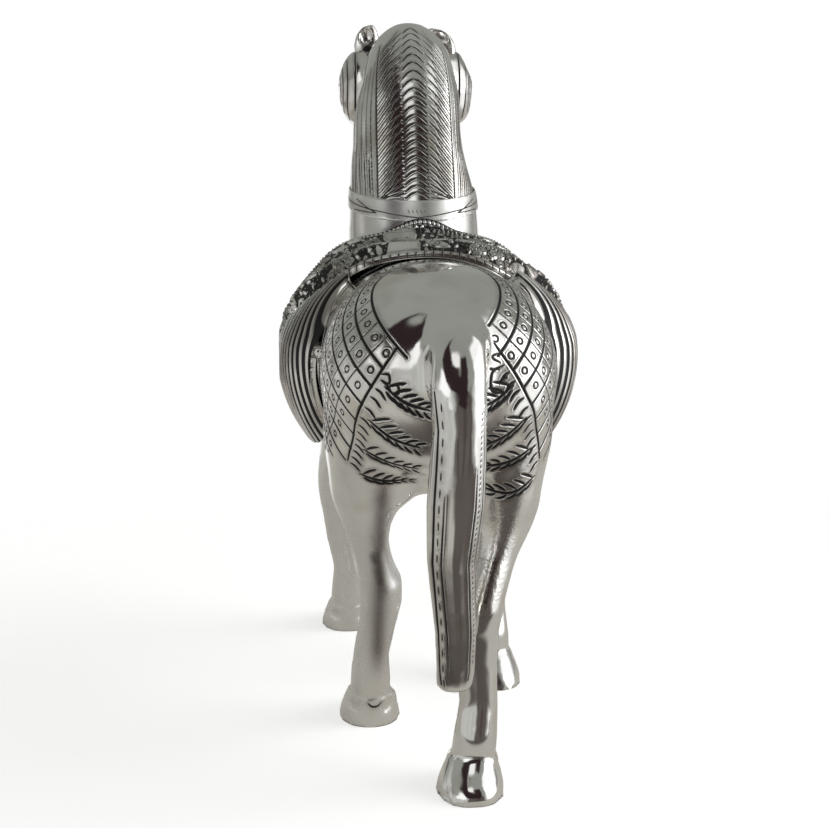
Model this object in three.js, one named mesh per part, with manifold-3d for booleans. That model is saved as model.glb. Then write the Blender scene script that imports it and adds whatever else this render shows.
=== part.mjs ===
// A walking horse statue in polished white metal, about 25 cm tall.
// The trunk is cast hollow in a left and a right shell that meet on the spine and the belly. The neck, the
// head, the ears, the tail and the leg lengths are castings of their own, brazed to it end to end. A plain
// collar band covers the neck's joint, and a chased saddle cloth lies on the back over pleated side cloths.
// Millimetres. +X is the horse's left, -Y is ahead of it and +Z is up.
import * as THREE from 'three';
import { mergeVertices } from 'three/addons/utils/BufferGeometryUtils.js';
import Module from 'manifold-3d';

// Trunk
const BODY_LENGTH = 176;
const BODY_WIDTH = 92;
const BODY_DEPTH = 82;
const BODY_MID_HEIGHT = 130;
const BUTTOCK_OFFSET = 97;
const CASTING_WALL = 3;

// Neck and head. The root of the neck is measured up from the middle of the trunk.
const NECK_ROOT_OFFSET = 40;
const NECK_ROOT_HEIGHT = 12;
const NECK_FORWARD_LENGTH = 47;
const NECK_HEIGHT = 95;
const NECK_WIDTH = 48;
const NECK_DEPTH = 48;
const HEAD_LENGTH = 74;
const HEAD_WIDTH = 34;
const HEAD_DEPTH = 32;
const HEAD_SLOPE_DEG = 54;
const HEAD_JOINT_SLOPE_DEG = 20;
const JOWL_WIDTH = 55;
const JOWL_THICKNESS = 22;
const JOWL_HEIGHT = 33;
const JOWL_LENGTH = 29;
const EAR_LENGTH = 12;
const EAR_WIDTH = 8.6;
const EAR_THICKNESS = 4.6;
const EAR_INWARD_OFFSET = 1;
const EAR_TURN_DEG = 29;

// Collar band, at its height above the root of the neck
const NECK_JOINT_HEIGHT = 43;
const COLLAR_HEIGHT = 6.8;
const COLLAR_THICKNESS = 1.5;
const COLLAR_TILT_DEG = 9;

// Hind limbs. Their root lies below the middle of the trunk.
const HIP_ROOT_DEPTH = 8;
const HIP_OFFSET = -60;
const HIP_SPREAD_WIDTH = 40;
const THIGH_WIDTH = 35;
const THIGH_DEPTH = 53;
const GASKIN_WIDTH = 16.6;
const HOCK_HEIGHT = 59;
const HOCK_WIDTH = 15.4;
const HOCK_DEPTH = 19;
const HOCK_BACK_OFFSET = 7;
const HOCK_INWARD_OFFSET = 2.5;

// Fore limbs, the same way
const SHOULDER_ROOT_DEPTH = 16;
const SHOULDER_OFFSET = 49;
const SHOULDER_SPREAD_WIDTH = 50;
const SHOULDER_WIDTH = 30;
const SHOULDER_DEPTH = 40;
const FOREARM_WIDTH = 16.4;
const KNEE_HEIGHT = 61;
const KNEE_WIDTH = 15.6;
const KNEE_DEPTH = 16.4;
const KNEE_OUTWARD_OFFSET = 4;

// Cannons and hooves
const CANNON_WIDTH = 12.6;
const CANNON_DEPTH = 12.4;
const FETLOCK_WIDTH = 14.6;
const FETLOCK_DEPTH = 16;
const FETLOCK_HEIGHT = 15;
const HOOF_WIDTH = 20.8;
const HOOF_LENGTH = 24.6;
const HOOF_HEIGHT = 7;

// Where each hoof stands: its distance out from the spine and ahead of the middle
const HIND_LEFT_OUT_WIDTH = 21;
const HIND_LEFT_STEP_LENGTH = -17;
const HIND_RIGHT_OUT_WIDTH = 8.5;
const HIND_RIGHT_STEP_LENGTH = -82.5;
const FORE_LEFT_OUT_WIDTH = 25.5;
const FORE_LEFT_STEP_LENGTH = 89;
const FORE_RIGHT_OUT_WIDTH = 28;
const FORE_RIGHT_STEP_LENGTH = 16;

// Where the leg castings meet: below the middle of the trunk, above the hock and below the knee
const TRUNK_JOINT_DEPTH = 42;
const HOCK_JOINT_HEIGHT = 3;
const KNEE_JOINT_DEPTH = 9;

// Tail. Its root is measured up from the middle of the trunk.
const TAIL_ROOT_HEIGHT = 18;
const TAIL_ROOT_DEPTH = 12;
const TAIL_BACK_LENGTH = 21;
const TAIL_LENGTH = 107;
const TAIL_WIDTH = 18.2;
const TAIL_THICKNESS = 14.5;
const TAIL_SIDE_OFFSET = 2.5;

// Saddle cloth, over the back. Its heights are above the middle of the trunk.
const CLOTH_THICKNESS = 4.6;
const CLOTH_REAR_LENGTH = 22;
const CLOTH_FRONT_LENGTH = 35;
const CLOTH_TIP_OFFSET = 3;
const CLOTH_TIP_HEIGHT = 4;
const CLOTH_SHOULDER_HEIGHT = 31;
const CLOTH_CURVE_LENGTH = 16;
const CLOTH_CURVE_HEIGHT = 15;
const CLOTH_SIDE_OFFSET = 2.2;
const TONGUE_WIDTH = 27;

// Pleated side cloths, under it, between a top above the middle of the trunk and a hem below it
const SIDE_CLOTH_REAR_LENGTH = 35;
const SIDE_CLOTH_FRONT_LENGTH = 37;
const SIDE_CLOTH_TOP_HEIGHT = 35;
const SIDE_CLOTH_HEM_DEPTH = 25;
const SIDE_CLOTH_HEM_CURVE_DEPTH = 4;
const SIDE_CLOTH_THICKNESS = 4.4;
const FLARE_THICKNESS = 3.4;
const PLEAT_DEPTH = 1.5;
const PLEAT_COUNT = 12;

const CLEARANCE = 0.3;
const HALF_GAP = CLEARANCE / 2;
const WORLD_SIZE = 3 * (BODY_LENGTH + NECK_HEIGHT);

const wasm = await Module();
wasm.setup();

const whiteMetal = { color: 0xc9c7c2, metalness: 1, roughness: 0.16 };
const chasedMetal = { color: 0xb9b7b1, metalness: 1, roughness: 0.3 };

const acrossBody = new THREE.Vector3(1, 0, 0);
const upward = new THREE.Vector3(0, 0, 1);
const between = THREE.MathUtils.lerp;

// A point given as the horse sees it: to its left, ahead of it, and up.
function place(left, ahead, up) {
  return new THREE.Vector3(left, -ahead, up);
}

// The closed solid of a geometry.
function solidOf(geometry) {
  const bare = geometry.index ? geometry.toNonIndexed() : geometry.clone();
  bare.deleteAttribute('normal');
  bare.deleteAttribute('uv');
  const merged = mergeVertices(bare, 1e-3);
  return new wasm.Manifold(new wasm.Mesh({
    numProp: 3,
    vertProperties: merged.attributes.position.array,
    triVerts: new Uint32Array(merged.index.array),
  }));
}

// The geometry of a solid, ready for a mesh.
function geometryOf(solid) {
  const made = solid.getMesh();
  const vertices = new Float32Array(made.numVert * 3);
  for (let i = 0; i < made.numVert; i++) {
    const first = i * made.numProp;
    vertices.set(made.vertProperties.subarray(first, first + 3), i * 3);
  }
  return new THREE.BufferGeometry()
    .setAttribute('position', new THREE.BufferAttribute(vertices, 3))
    .setIndex(new THREE.BufferAttribute(made.triVerts, 1));
}

function union(solids) {
  return solids.reduce((whole, next) => whole.add(next));
}

// A skin drawn through oval sections. A section has its centre, its half width, and how far it reaches
// to the outer and the inner side of the path. grow(t, angle) moves the skin out or in, square to itself.
function loft(sections, { rings, sides, from = 0, to = 1, grow = () => 0 }) {
  const path = new THREE.CatmullRomCurve3(sections.map((s) => s.centre), false, 'catmullrom');
  const sizes = new THREE.CatmullRomCurve3(
    sections.map((s) => new THREE.Vector3(s.wide, s.outer, s.inner)),
    false,
    'catmullrom',
  );
  const skin = [];
  const moved = [];
  const turnOf = (j) => (2 * Math.PI * j) / sides;
  const shareOf = (i) => from + ((to - from) * i) / rings;
  for (let i = 0; i <= rings; i++) {
    const centre = path.getPoint(shareOf(i));
    const along = path.getTangent(shareOf(i));
    const size = sizes.getPoint(shareOf(i));
    const across = acrossBody.clone().addScaledVector(along, -along.x).normalize();
    const outward = new THREE.Vector3().crossVectors(along, across);
    for (let j = 0; j < sides; j++) {
      const reach = Math.sin(turnOf(j)) > 0 ? size.y : size.z;
      skin.push(centre.clone()
        .addScaledVector(across, size.x * Math.cos(turnOf(j)))
        .addScaledVector(outward, reach * Math.sin(turnOf(j))));
    }
  }
  for (let i = 0; i <= rings; i++) {
    for (let j = 0; j < sides; j++) {
      const [before, after] = [Math.max(i - 1, 0), Math.min(i + 1, rings)];
      const [left, right] = [(j + sides - 1) % sides, (j + 1) % sides];
      const round = skin[i * sides + right].clone().sub(skin[i * sides + left]);
      const onward = skin[after * sides + j].clone().sub(skin[before * sides + j]);
      const out = round.cross(onward).normalize();
      moved.push(skin[i * sides + j].clone().addScaledVector(out, grow(shareOf(i), turnOf(j))));
    }
  }
  const tail = moved.push(path.getPoint(from).addScaledVector(path.getTangent(from), -grow(from, 0))) - 1;
  const nose = moved.push(path.getPoint(to).addScaledVector(path.getTangent(to), grow(to, 0))) - 1;
  const faces = [];
  for (let j = 0; j < sides; j++) {
    const next = (j + 1) % sides;
    for (let i = 0; i < rings; i++) {
      const [a, b] = [i * sides + j, i * sides + next];
      faces.push(a, b, b + sides, a, b + sides, a + sides);
    }
    faces.push(tail, next, j);
    faces.push(nose, rings * sides + j, rings * sides + next);
  }
  const geometry = new THREE.BufferGeometry().setFromPoints(moved);
  geometry.setIndex(faces);
  return solidOf(geometry);
}

// Everything on the side of a plane that its normal points to.
function halfSpace(point, normal) {
  const turn = new THREE.Quaternion().setFromUnitVectors(upward, normal.clone().normalize());
  const box = new THREE.BoxGeometry(WORLD_SIZE, WORLD_SIZE, WORLD_SIZE);
  box.translate(0, 0, WORLD_SIZE / 2);
  box.applyQuaternion(turn);
  box.translate(point.x, point.y, point.z);
  return solidOf(box);
}

function above(height) {
  return halfSpace(place(0, 0, height), upward);
}

function below(height) {
  return halfSpace(place(0, 0, height), upward.clone().negate());
}

// Trunk: rows of place along the body, lift of the section's middle, half width, reach above and below.
// They are shares of the length, of the depth, of the width and twice of the depth.
const trunkRows = [
  [0.0, 0.085, 0.1, 0.06, 0.07],
  [0.014, 0.08, 0.34, 0.17, 0.19],
  [0.048, 0.07, 0.6, 0.28, 0.31],
  [0.108, 0.05, 0.755, 0.375, 0.4],
  [0.199, 0.03, 0.83, 0.445, 0.47],
  [0.312, 0.01, 0.83, 0.465, 0.475],
  [0.426, 0.0, 0.91, 0.44, 0.505],
  [0.551, 0.0, 1.0, 0.43, 0.53],
  [0.665, 0.01, 0.985, 0.46, 0.54],
  [0.778, 0.03, 0.88, 0.5, 0.55],
  [0.869, 0.06, 0.735, 0.46, 0.52],
  [0.9375, 0.08, 0.54, 0.36, 0.42],
  [0.98, 0.09, 0.31, 0.21, 0.26],
  [1.0, 0.09, 0.09, 0.06, 0.08],
];
const trunkSections = trunkRows.map(([along, lift, wide, up, down]) => ({
  centre: place(0, along * BODY_LENGTH - BUTTOCK_OFFSET, BODY_MID_HEIGHT + lift * BODY_DEPTH),
  wide: (wide * BODY_WIDTH) / 2,
  outer: up * BODY_DEPTH,
  inner: down * BODY_DEPTH,
}));

function trunk(grow, rings = 28, sides = 32) {
  return loft(trunkSections, { rings, sides, grow });
}

// Neck: rows of way from root to poll, bow towards the crest, half width, crest and throat reach.
const neckRows = [
  [0.0, 0.0, 0.56, 0.56, 0.63],
  [0.2, 0.035, 0.53, 0.52, 0.6],
  [0.4, 0.07, 0.505, 0.44, 0.52],
  [0.575, 0.1, 0.455, 0.4, 0.44],
  [0.75, 0.115, 0.41, 0.385, 0.39],
  [0.9, 0.095, 0.365, 0.36, 0.335],
  [0.98, 0.05, 0.31, 0.3, 0.27],
  [1.03, 0.0, 0.16, 0.15, 0.14],
];
const neckRoot = place(0, NECK_ROOT_OFFSET, BODY_MID_HEIGHT + NECK_ROOT_HEIGHT);
const neckWay = place(0, NECK_FORWARD_LENGTH, NECK_HEIGHT);
const poll = neckRoot.clone().add(neckWay);
const crestWay = new THREE.Vector3().crossVectors(neckWay, acrossBody);
const neckSections = neckRows.map(([along, bow, wide, crest, throat]) => ({
  centre: neckRoot.clone().addScaledVector(neckWay, along).addScaledVector(crestWay, bow),
  wide: wide * NECK_WIDTH,
  outer: crest * NECK_DEPTH,
  inner: throat * NECK_DEPTH,
}));

function neck(grow, options = {}) {
  return loft(neckSections, { rings: 14, sides: 24, grow, ...options });
}

// Head: rows of way from the back of the skull to the lips, arch of the face, half width, and reach to the
// brow and to the jaw.
const headRows = [
  [0.0, -0.03, 0.3, 0.28, 0.3],
  [0.1, 0.045, 0.46, 0.38, 0.5],
  [0.27, 0.07, 0.5, 0.4, 0.58],
  [0.45, 0.058, 0.43, 0.37, 0.46],
  [0.63, 0.04, 0.34, 0.31, 0.33],
  [0.79, 0.022, 0.305, 0.275, 0.29],
  [0.9, 0.012, 0.31, 0.265, 0.285],
  [0.97, 0.004, 0.25, 0.2, 0.22],
  [1.0, 0.0, 0.13, 0.1, 0.11],
];
const headSlope = THREE.MathUtils.degToRad(HEAD_SLOPE_DEG);
const headWay = place(0, Math.cos(headSlope), -Math.sin(headSlope)).multiplyScalar(HEAD_LENGTH);
const browWay = new THREE.Vector3().crossVectors(headWay, acrossBody);
const skullBack = poll.clone().addScaledVector(headWay, -0.04);
const headSections = headRows.map(([along, arch, wide, brow, jaw]) => ({
  centre: skullBack.clone().addScaledVector(headWay, along).addScaledVector(browWay, arch),
  wide: wide * HEAD_WIDTH,
  outer: brow * HEAD_DEPTH,
  inner: jaw * HEAD_DEPTH,
}));

// A round jowl on each side of the skull, with the ear standing over its middle.
const jowlOut = (JOWL_WIDTH - JOWL_THICKNESS) / 2;

function jowl(side, grow = 0) {
  const ball = new THREE.SphereGeometry(1, 18, 12);
  ball.scale(JOWL_THICKNESS / 2 + grow, JOWL_LENGTH / 2 + grow, JOWL_HEIGHT / 2 + grow);
  const centre = skullBack.clone().addScaledVector(headWay, 0.21).addScaledVector(browWay, -0.02);
  ball.translate(side * jowlOut, centre.y, centre.z);
  return solidOf(ball);
}

// An ear: a small upright leaf that leans a little inward, hollowed on its rear side.
// Rows of way up, lean outward, half width and half thickness.
const earRows = [
  [0, 0, 0.5, 0.5],
  [0.3, 0.02, 0.5, 0.5],
  [0.62, 0.0, 0.42, 0.42],
  [0.86, -0.06, 0.25, 0.3],
  [1, -0.12, 0.06, 0.12],
];

function earSections(side) {
  const root = skullBack.clone().addScaledVector(headWay, 0.06).addScaledVector(browWay, 0.07);
  return earRows.map(([up, lean, wide, thick]) => {
    const out = jowlOut - EAR_INWARD_OFFSET + lean * EAR_LENGTH;
    return {
      centre: root.clone().add(place(side * out, 0.12 * up * EAR_LENGTH, up * EAR_LENGTH)),
      wide: wide * EAR_WIDTH,
      outer: thick * EAR_THICKNESS,
      inner: thick * EAR_THICKNESS,
    };
  });
}

function ear(side, grow = 0) {
  return loft(earSections(side), { rings: 8, sides: 12, grow: () => grow });
}

// The dish of an ear, turned a little outward.
function earHollow(side) {
  const turn = side * THREE.MathUtils.degToRad(EAR_TURN_DEG);
  const dish = new THREE.SphereGeometry(1, 12, 8);
  dish.scale(EAR_WIDTH * 0.27, EAR_THICKNESS * 0.4, EAR_LENGTH * 0.34);
  dish.rotateZ(turn);
  const centre = earSections(side)[2].centre;
  centre.add(place(Math.sin(turn), -Math.cos(turn), 0).multiplyScalar(EAR_THICKNESS * 0.42));
  dish.translate(centre.x, centre.y, centre.z);
  return solidOf(dish);
}

// A limb from inside the trunk down to its hoof. Each row: height, half width, fore and aft reach, and how
// far the limb bends forward and bows outward there from the straight line of its root to its hoof.
function limb({ side, top, out, step, rows }, grow = 0) {
  const sections = rows.map(([up, wide, fore, aft, forward = 0, bow = 0]) => {
    const down = 1 - up / top.up;
    const left = side * (between(top.spread / 2, out, down) + bow);
    const ahead = between(top.ahead, step, down) + forward;
    return { centre: place(left, ahead, up), wide, outer: fore, inner: aft };
  });
  return loft(sections, { rings: 20, sides: 14, grow: () => grow });
}

// Both kinds of limb end in the same fetlock and hoof. The hoof runs on below the ground, where it is cut.
const footRows = [
  [FETLOCK_HEIGHT, FETLOCK_WIDTH / 2, FETLOCK_DEPTH * 0.46, FETLOCK_DEPTH * 0.54, -FETLOCK_DEPTH * 0.11],
  [HOOF_HEIGHT * 1.35, FETLOCK_WIDTH / 2, FETLOCK_DEPTH * 0.55, FETLOCK_DEPTH * 0.44],
  [HOOF_HEIGHT, HOOF_WIDTH * 0.41, HOOF_LENGTH * 0.44, HOOF_LENGTH * 0.36],
  [0, HOOF_WIDTH / 2, HOOF_LENGTH * 0.56, HOOF_LENGTH * 0.44],
  [-HOOF_HEIGHT, HOOF_WIDTH * 0.54, HOOF_LENGTH * 0.62, HOOF_LENGTH * 0.46],
];
const hip = {
  up: BODY_MID_HEIGHT - HIP_ROOT_DEPTH,
  ahead: HIP_OFFSET,
  spread: HIP_SPREAD_WIDTH,
};
const thighUp = (share) => between(HOCK_HEIGHT, hip.up, share);
const hindCannonUp = (share) => between(FETLOCK_HEIGHT, HOCK_HEIGHT, share);
const [back, inward] = [-HOCK_BACK_OFFSET, -HOCK_INWARD_OFFSET];
const hindRows = [
  [thighUp(1.19), THIGH_WIDTH * 0.2, THIGH_DEPTH * 0.2, THIGH_DEPTH * 0.2],
  [thighUp(1.11), THIGH_WIDTH * 0.4, THIGH_DEPTH * 0.4, THIGH_DEPTH * 0.4],
  [thighUp(0.95), THIGH_WIDTH * 0.5, THIGH_DEPTH * 0.5, THIGH_DEPTH * 0.5],
  [thighUp(0.75), THIGH_WIDTH * 0.49, THIGH_DEPTH * 0.46, THIGH_DEPTH * 0.46],
  [thighUp(0.545), THIGH_WIDTH * 0.38, THIGH_DEPTH * 0.36, THIGH_DEPTH * 0.36, 0, -inward],
  [thighUp(0.32), GASKIN_WIDTH * 0.48, THIGH_DEPTH * 0.23, THIGH_DEPTH * 0.23, back * 0.3, -inward * 0.9],
  [thighUp(0.15), GASKIN_WIDTH * 0.4, HOCK_DEPTH * 0.46, HOCK_DEPTH * 0.5, back * 0.8, 0],
  [HOCK_HEIGHT, HOCK_WIDTH / 2, HOCK_DEPTH * 0.44, HOCK_DEPTH * 0.53, back, inward],
  [hindCannonUp(0.73), CANNON_WIDTH * 0.54, CANNON_DEPTH * 0.52, CANNON_DEPTH * 0.56, back * 0.8, inward],
  [hindCannonUp(0.34), CANNON_WIDTH / 2, CANNON_DEPTH * 0.48, CANNON_DEPTH * 0.52, back * 0.45],
  ...footRows,
];
const shoulder = {
  up: BODY_MID_HEIGHT - SHOULDER_ROOT_DEPTH,
  ahead: SHOULDER_OFFSET,
  spread: SHOULDER_SPREAD_WIDTH,
};
const armUp = (share) => between(KNEE_HEIGHT, shoulder.up, share);
const foreCannonUp = (share) => between(FETLOCK_HEIGHT, KNEE_HEIGHT, share);
const outward = KNEE_OUTWARD_OFFSET;
const foreRows = [
  [armUp(1.35), SHOULDER_WIDTH * 0.2, SHOULDER_DEPTH * 0.2, SHOULDER_DEPTH * 0.2],
  [armUp(1.23), SHOULDER_WIDTH * 0.4, SHOULDER_DEPTH * 0.4, SHOULDER_DEPTH * 0.4],
  [armUp(1), SHOULDER_WIDTH * 0.5, SHOULDER_DEPTH * 0.5, SHOULDER_DEPTH * 0.5],
  [armUp(0.656), SHOULDER_WIDTH * 0.44, SHOULDER_DEPTH * 0.4, SHOULDER_DEPTH * 0.42],
  [armUp(0.42), FOREARM_WIDTH * 0.58, SHOULDER_DEPTH * 0.29, SHOULDER_DEPTH * 0.31, 0, outward * 0.5],
  [armUp(0.18), FOREARM_WIDTH * 0.49, KNEE_DEPTH * 0.52, KNEE_DEPTH * 0.52, KNEE_DEPTH * 0.06, outward],
  [KNEE_HEIGHT, KNEE_WIDTH / 2, KNEE_DEPTH * 0.53, KNEE_DEPTH * 0.47, KNEE_DEPTH * 0.12, outward],
  [foreCannonUp(0.73), CANNON_WIDTH * 0.54, CANNON_DEPTH * 0.54, CANNON_DEPTH * 0.54, 0, outward * 0.8],
  [foreCannonUp(0.55), CANNON_WIDTH / 2, CANNON_DEPTH * 0.48, CANNON_DEPTH * 0.52, 0, outward * 0.6],
  [foreCannonUp(0.33), CANNON_WIDTH / 2, CANNON_DEPTH * 0.48, CANNON_DEPTH * 0.52, -CANNON_DEPTH * 0.25],
  ...footRows,
];
const hind = { top: hip, rows: hindRows, joint: HOCK_HEIGHT + HOCK_JOINT_HEIGHT };
const fore = { top: shoulder, rows: foreRows, joint: KNEE_HEIGHT - KNEE_JOINT_DEPTH };
const limbs = [
  { name: 'hind_leg_left', side: 1, out: HIND_LEFT_OUT_WIDTH, step: HIND_LEFT_STEP_LENGTH, ...hind },
  { name: 'hind_leg_right', side: -1, out: HIND_RIGHT_OUT_WIDTH, step: HIND_RIGHT_STEP_LENGTH, ...hind },
  { name: 'fore_leg_left', side: 1, out: FORE_LEFT_OUT_WIDTH, step: FORE_LEFT_STEP_LENGTH, ...fore },
  { name: 'fore_leg_right', side: -1, out: FORE_RIGHT_OUT_WIDTH, step: FORE_RIGHT_STEP_LENGTH, ...fore },
];
const trunkJointHeight = BODY_MID_HEIGHT - TRUNK_JOINT_DEPTH;

// Tail: a thick fall of hair that leaves the croup, turns over and hangs straight down.
const tailRows = [
  [0, 0, 0.48, 0.42, 0.42],
  [0.42, 0.012, 0.52, 0.46, 0.5],
  [0.76, 0.09, 0.5, 0.48, 0.5],
  [0.95, 0.24, 0.495, 0.5, 0.5],
  [1.0, 0.46, 0.505, 0.5, 0.5],
  [0.95, 0.7, 0.44, 0.44, 0.44],
  [0.86, 0.94, 0.335, 0.34, 0.34],
  [0.845, 0.985, 0.28, 0.28, 0.28],
  [0.84, 1.0, 0.15, 0.15, 0.15],
];
const tailSections = tailRows.map(([reach, drop, wide, outer, inner]) => ({
  centre: place(
    -TAIL_SIDE_OFFSET,
    TAIL_ROOT_DEPTH - BUTTOCK_OFFSET - reach * TAIL_BACK_LENGTH,
    BODY_MID_HEIGHT + TAIL_ROOT_HEIGHT - drop * TAIL_LENGTH,
  ),
  wide: wide * TAIL_WIDTH,
  outer: inner * TAIL_THICKNESS,
  inner: outer * TAIL_THICKNESS,
}));

function tail(grow = 0) {
  return loft(tailSections, { rings: 18, sides: 14, grow: () => grow });
}

// The collar band's plane leans back over the withers. The neck's joint lies in the same plane.
const collarTilt = THREE.MathUtils.degToRad(COLLAR_TILT_DEG);
const collarNormal = place(0, -Math.sin(collarTilt), Math.cos(collarTilt));
const neckAtJoint = neckRoot.clone().addScaledVector(neckWay, NECK_JOINT_HEIGHT / NECK_HEIGHT);

function collarPlane(offset, direction) {
  return halfSpace(
    neckAtJoint.clone().addScaledVector(collarNormal, offset),
    collarNormal.clone().multiplyScalar(direction),
  );
}

// The head's joint is just behind the jowls, and leans back with the top of the neck.
const headJoint = skullBack.clone().addScaledVector(headWay, 0.02);
const headJointSlope = THREE.MathUtils.degToRad(HEAD_JOINT_SLOPE_DEG);
const headJointNormal = place(0, Math.cos(headJointSlope), Math.sin(headJointSlope));

function headPlane(offset, direction) {
  return halfSpace(
    headJoint.clone().addScaledVector(headJointNormal, offset),
    headJointNormal.clone().multiplyScalar(direction),
  );
}

// Side view of the saddle cloth: straight over the back, and drawn to a tip on the flank.
function clothPrism(grow) {
  const top = BODY_MID_HEIGHT + BODY_DEPTH;
  const [rear, front] = [-CLOTH_REAR_LENGTH - grow, CLOTH_FRONT_LENGTH + grow];
  const tip = BODY_MID_HEIGHT + CLOTH_TIP_HEIGHT - grow * 1.6;
  const bend = CLOTH_CURVE_LENGTH + grow;
  const outline = new THREE.Shape();
  outline.moveTo(rear, top);
  outline.lineTo(rear, BODY_MID_HEIGHT + CLOTH_SHOULDER_HEIGHT);
  outline.quadraticCurveTo(CLOTH_TIP_OFFSET - bend, tip + CLOTH_CURVE_HEIGHT, CLOTH_TIP_OFFSET, tip);
  outline.quadraticCurveTo(
    CLOTH_TIP_OFFSET + bend, tip + CLOTH_CURVE_HEIGHT,
    front, BODY_MID_HEIGHT + CLOTH_SHOULDER_HEIGHT,
  );
  outline.lineTo(front, top);
  return prism(outline);
}

// Side view of the pleated side cloths: narrower under the saddle cloth, and full at the flank.
function sideClothPrism() {
  const top = BODY_MID_HEIGHT + SIDE_CLOTH_TOP_HEIGHT;
  const hem = BODY_MID_HEIGHT - SIDE_CLOTH_HEM_DEPTH;
  const [rear, front] = [-SIDE_CLOTH_REAR_LENGTH, SIDE_CLOTH_FRONT_LENGTH];
  const corner = SIDE_CLOTH_HEM_CURVE_DEPTH;
  const outline = new THREE.Shape();
  outline.moveTo(-CLOTH_REAR_LENGTH + corner / 2, top);
  outline.bezierCurveTo(
    rear, top - 2 * corner,
    rear - corner, between(hem, top, 0.36),
    rear + corner, hem + corner,
  );
  outline.quadraticCurveTo(0, hem - corner, front - corner, hem + corner);
  outline.bezierCurveTo(
    front + corner, between(hem, top, 0.36),
    front, top - 2 * corner,
    CLOTH_FRONT_LENGTH - corner / 2, top,
  );
  return prism(outline);
}

// Carries a side view, drawn as ahead and up, right through the horse from side to side.
function prism(outline) {
  const through = { depth: WORLD_SIZE, bevelEnabled: false, curveSegments: 10 };
  const geometry = new THREE.ExtrudeGeometry(outline, through);
  geometry.translate(0, 0, -WORLD_SIZE / 2);
  const across = new THREE.Matrix4().makeBasis(
    place(0, 1, 0),
    upward,
    acrossBody.clone().negate(),
  );
  geometry.applyMatrix4(across);
  return solidOf(geometry);
}

// The bare animal, with every surface moved out by the same amount.
function animal(grow) {
  return union([trunk(() => grow), neck(() => grow), ...limbs.map((l) => limb(l, grow))]);
}

const hollow = union([
  loft(trunkSections, { rings: 20, sides: 24, from: 0.1, to: 0.93, grow: () => -CASTING_WALL }),
  neck(() => -CASTING_WALL, { rings: 10, sides: 18, from: 0.05, to: 0.74 }),
]);

function headSolid(grow = 0) {
  const skull = loft(headSections, { rings: 20, sides: 22, grow: () => grow });
  return union([skull, jowl(1, grow), jowl(-1, grow)]);
}

// The collar band lies on the neck. grow makes the room that its neighbours leave for it.
function collarBand(grow = 0) {
  return neck(() => COLLAR_THICKNESS + CLEARANCE + grow, { sides: 32 })
    .intersect(collarPlane(-COLLAR_HEIGHT / 2 - grow, 1))
    .intersect(collarPlane(COLLAR_HEIGHT / 2 + grow, -1));
}

const upperLimbs = union(limbs.map((l) => limb(l).intersect(above(trunkJointHeight + HALF_GAP))));
const neckStub = neck(() => 0).intersect(collarPlane(-HALF_GAP, -1));
const trunkWhole = union([trunk(() => 0), neckStub, upperLimbs]).subtract(hollow);
const skin = animal(CLEARANCE);

const root = new THREE.Group();

function add(name, solid, looks = whiteMetal) {
  const mesh = new THREE.Mesh(geometryOf(solid), new THREE.MeshStandardMaterial(looks));
  mesh.name = name;
  root.add(mesh);
}

// What lies to one side of the spine, clear of what lies to the other.
function sideOfSpine(side) {
  return halfSpace(place(side * HALF_GAP, 0, 0), acrossBody.clone().multiplyScalar(side));
}

// Trunk shells, left and right of the spine, with the tail let into their rear end
const tailSocket = tail(CLEARANCE);
add('trunk_shell_left', trunkWhole.intersect(sideOfSpine(1)).subtract(tailSocket));
add('trunk_shell_right', trunkWhole.intersect(sideOfSpine(-1)).subtract(tailSocket));

// Neck, head and ears
const earSockets = ear(1, CLEARANCE).add(ear(-1, CLEARANCE));
const neckPiece = neck(() => 0)
  .intersect(collarPlane(HALF_GAP, 1))
  .intersect(headPlane(-HALF_GAP, -1))
  .subtract(hollow)
  .subtract(headSolid(CLEARANCE))
  .subtract(earSockets);
add('neck_shell', neckPiece);
const headPiece = neck(() => 0).intersect(headPlane(HALF_GAP, 1)).add(headSolid());
add('head', headPiece.subtract(earSockets));
add('ear_left', ear(1).subtract(earHollow(1)));
add('ear_right', ear(-1).subtract(earHollow(-1)));

// Collar band over the neck joint
add('neck_collar', collarBand().subtract(skin));

// The cloths stand off more and more towards the hem.
function flareAt(angle) {
  return FLARE_THICKNESS * Math.max(0, 0.95 - Math.sin(angle));
}

// Saddle cloth. Its front climbs the root of the crest in a tongue, up to the collar.
const toRight = place(-CLOTH_SIDE_OFFSET, 0, 0).toArray();
const tongueBand = solidOf(new THREE.BoxGeometry(TONGUE_WIDTH, WORLD_SIZE, WORLD_SIZE));
const tongue = neck(() => CLEARANCE + CLOTH_THICKNESS)
  .intersect(collarPlane(-COLLAR_HEIGHT / 2 - CLEARANCE, -1))
  .intersect(tongueBand);
const cloth = trunk((t, angle) => CLEARANCE + CLOTH_THICKNESS + flareAt(angle)).translate(toRight)
  .add(tongue)
  .intersect(clothPrism(0))
  .subtract(skin)
  .subtract(collarBand(CLEARANCE));
add('saddle_cloth', cloth, chasedMetal);

// The share of the trunk's path at which it reaches a place along the body.
function pathShareAt(ahead) {
  const path = new THREE.CatmullRomCurve3(trunkSections.map((s) => s.centre), false, 'catmullrom');
  let [low, high] = [0, 1];
  for (let i = 0; i < 30; i++) {
    const middle = (low + high) / 2;
    [low, high] = -path.getPoint(middle).y < ahead ? [middle, high] : [low, middle];
  }
  return low;
}

// Pleated side cloths, left and right of the spine, with the saddle cloth's place left free
const pleatEnd = SIDE_CLOTH_HEM_CURVE_DEPTH * 2;
const pleatFrom = pathShareAt(-SIDE_CLOTH_REAR_LENGTH - pleatEnd);
const pleatTo = pathShareAt(SIDE_CLOTH_FRONT_LENGTH + pleatEnd);

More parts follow.
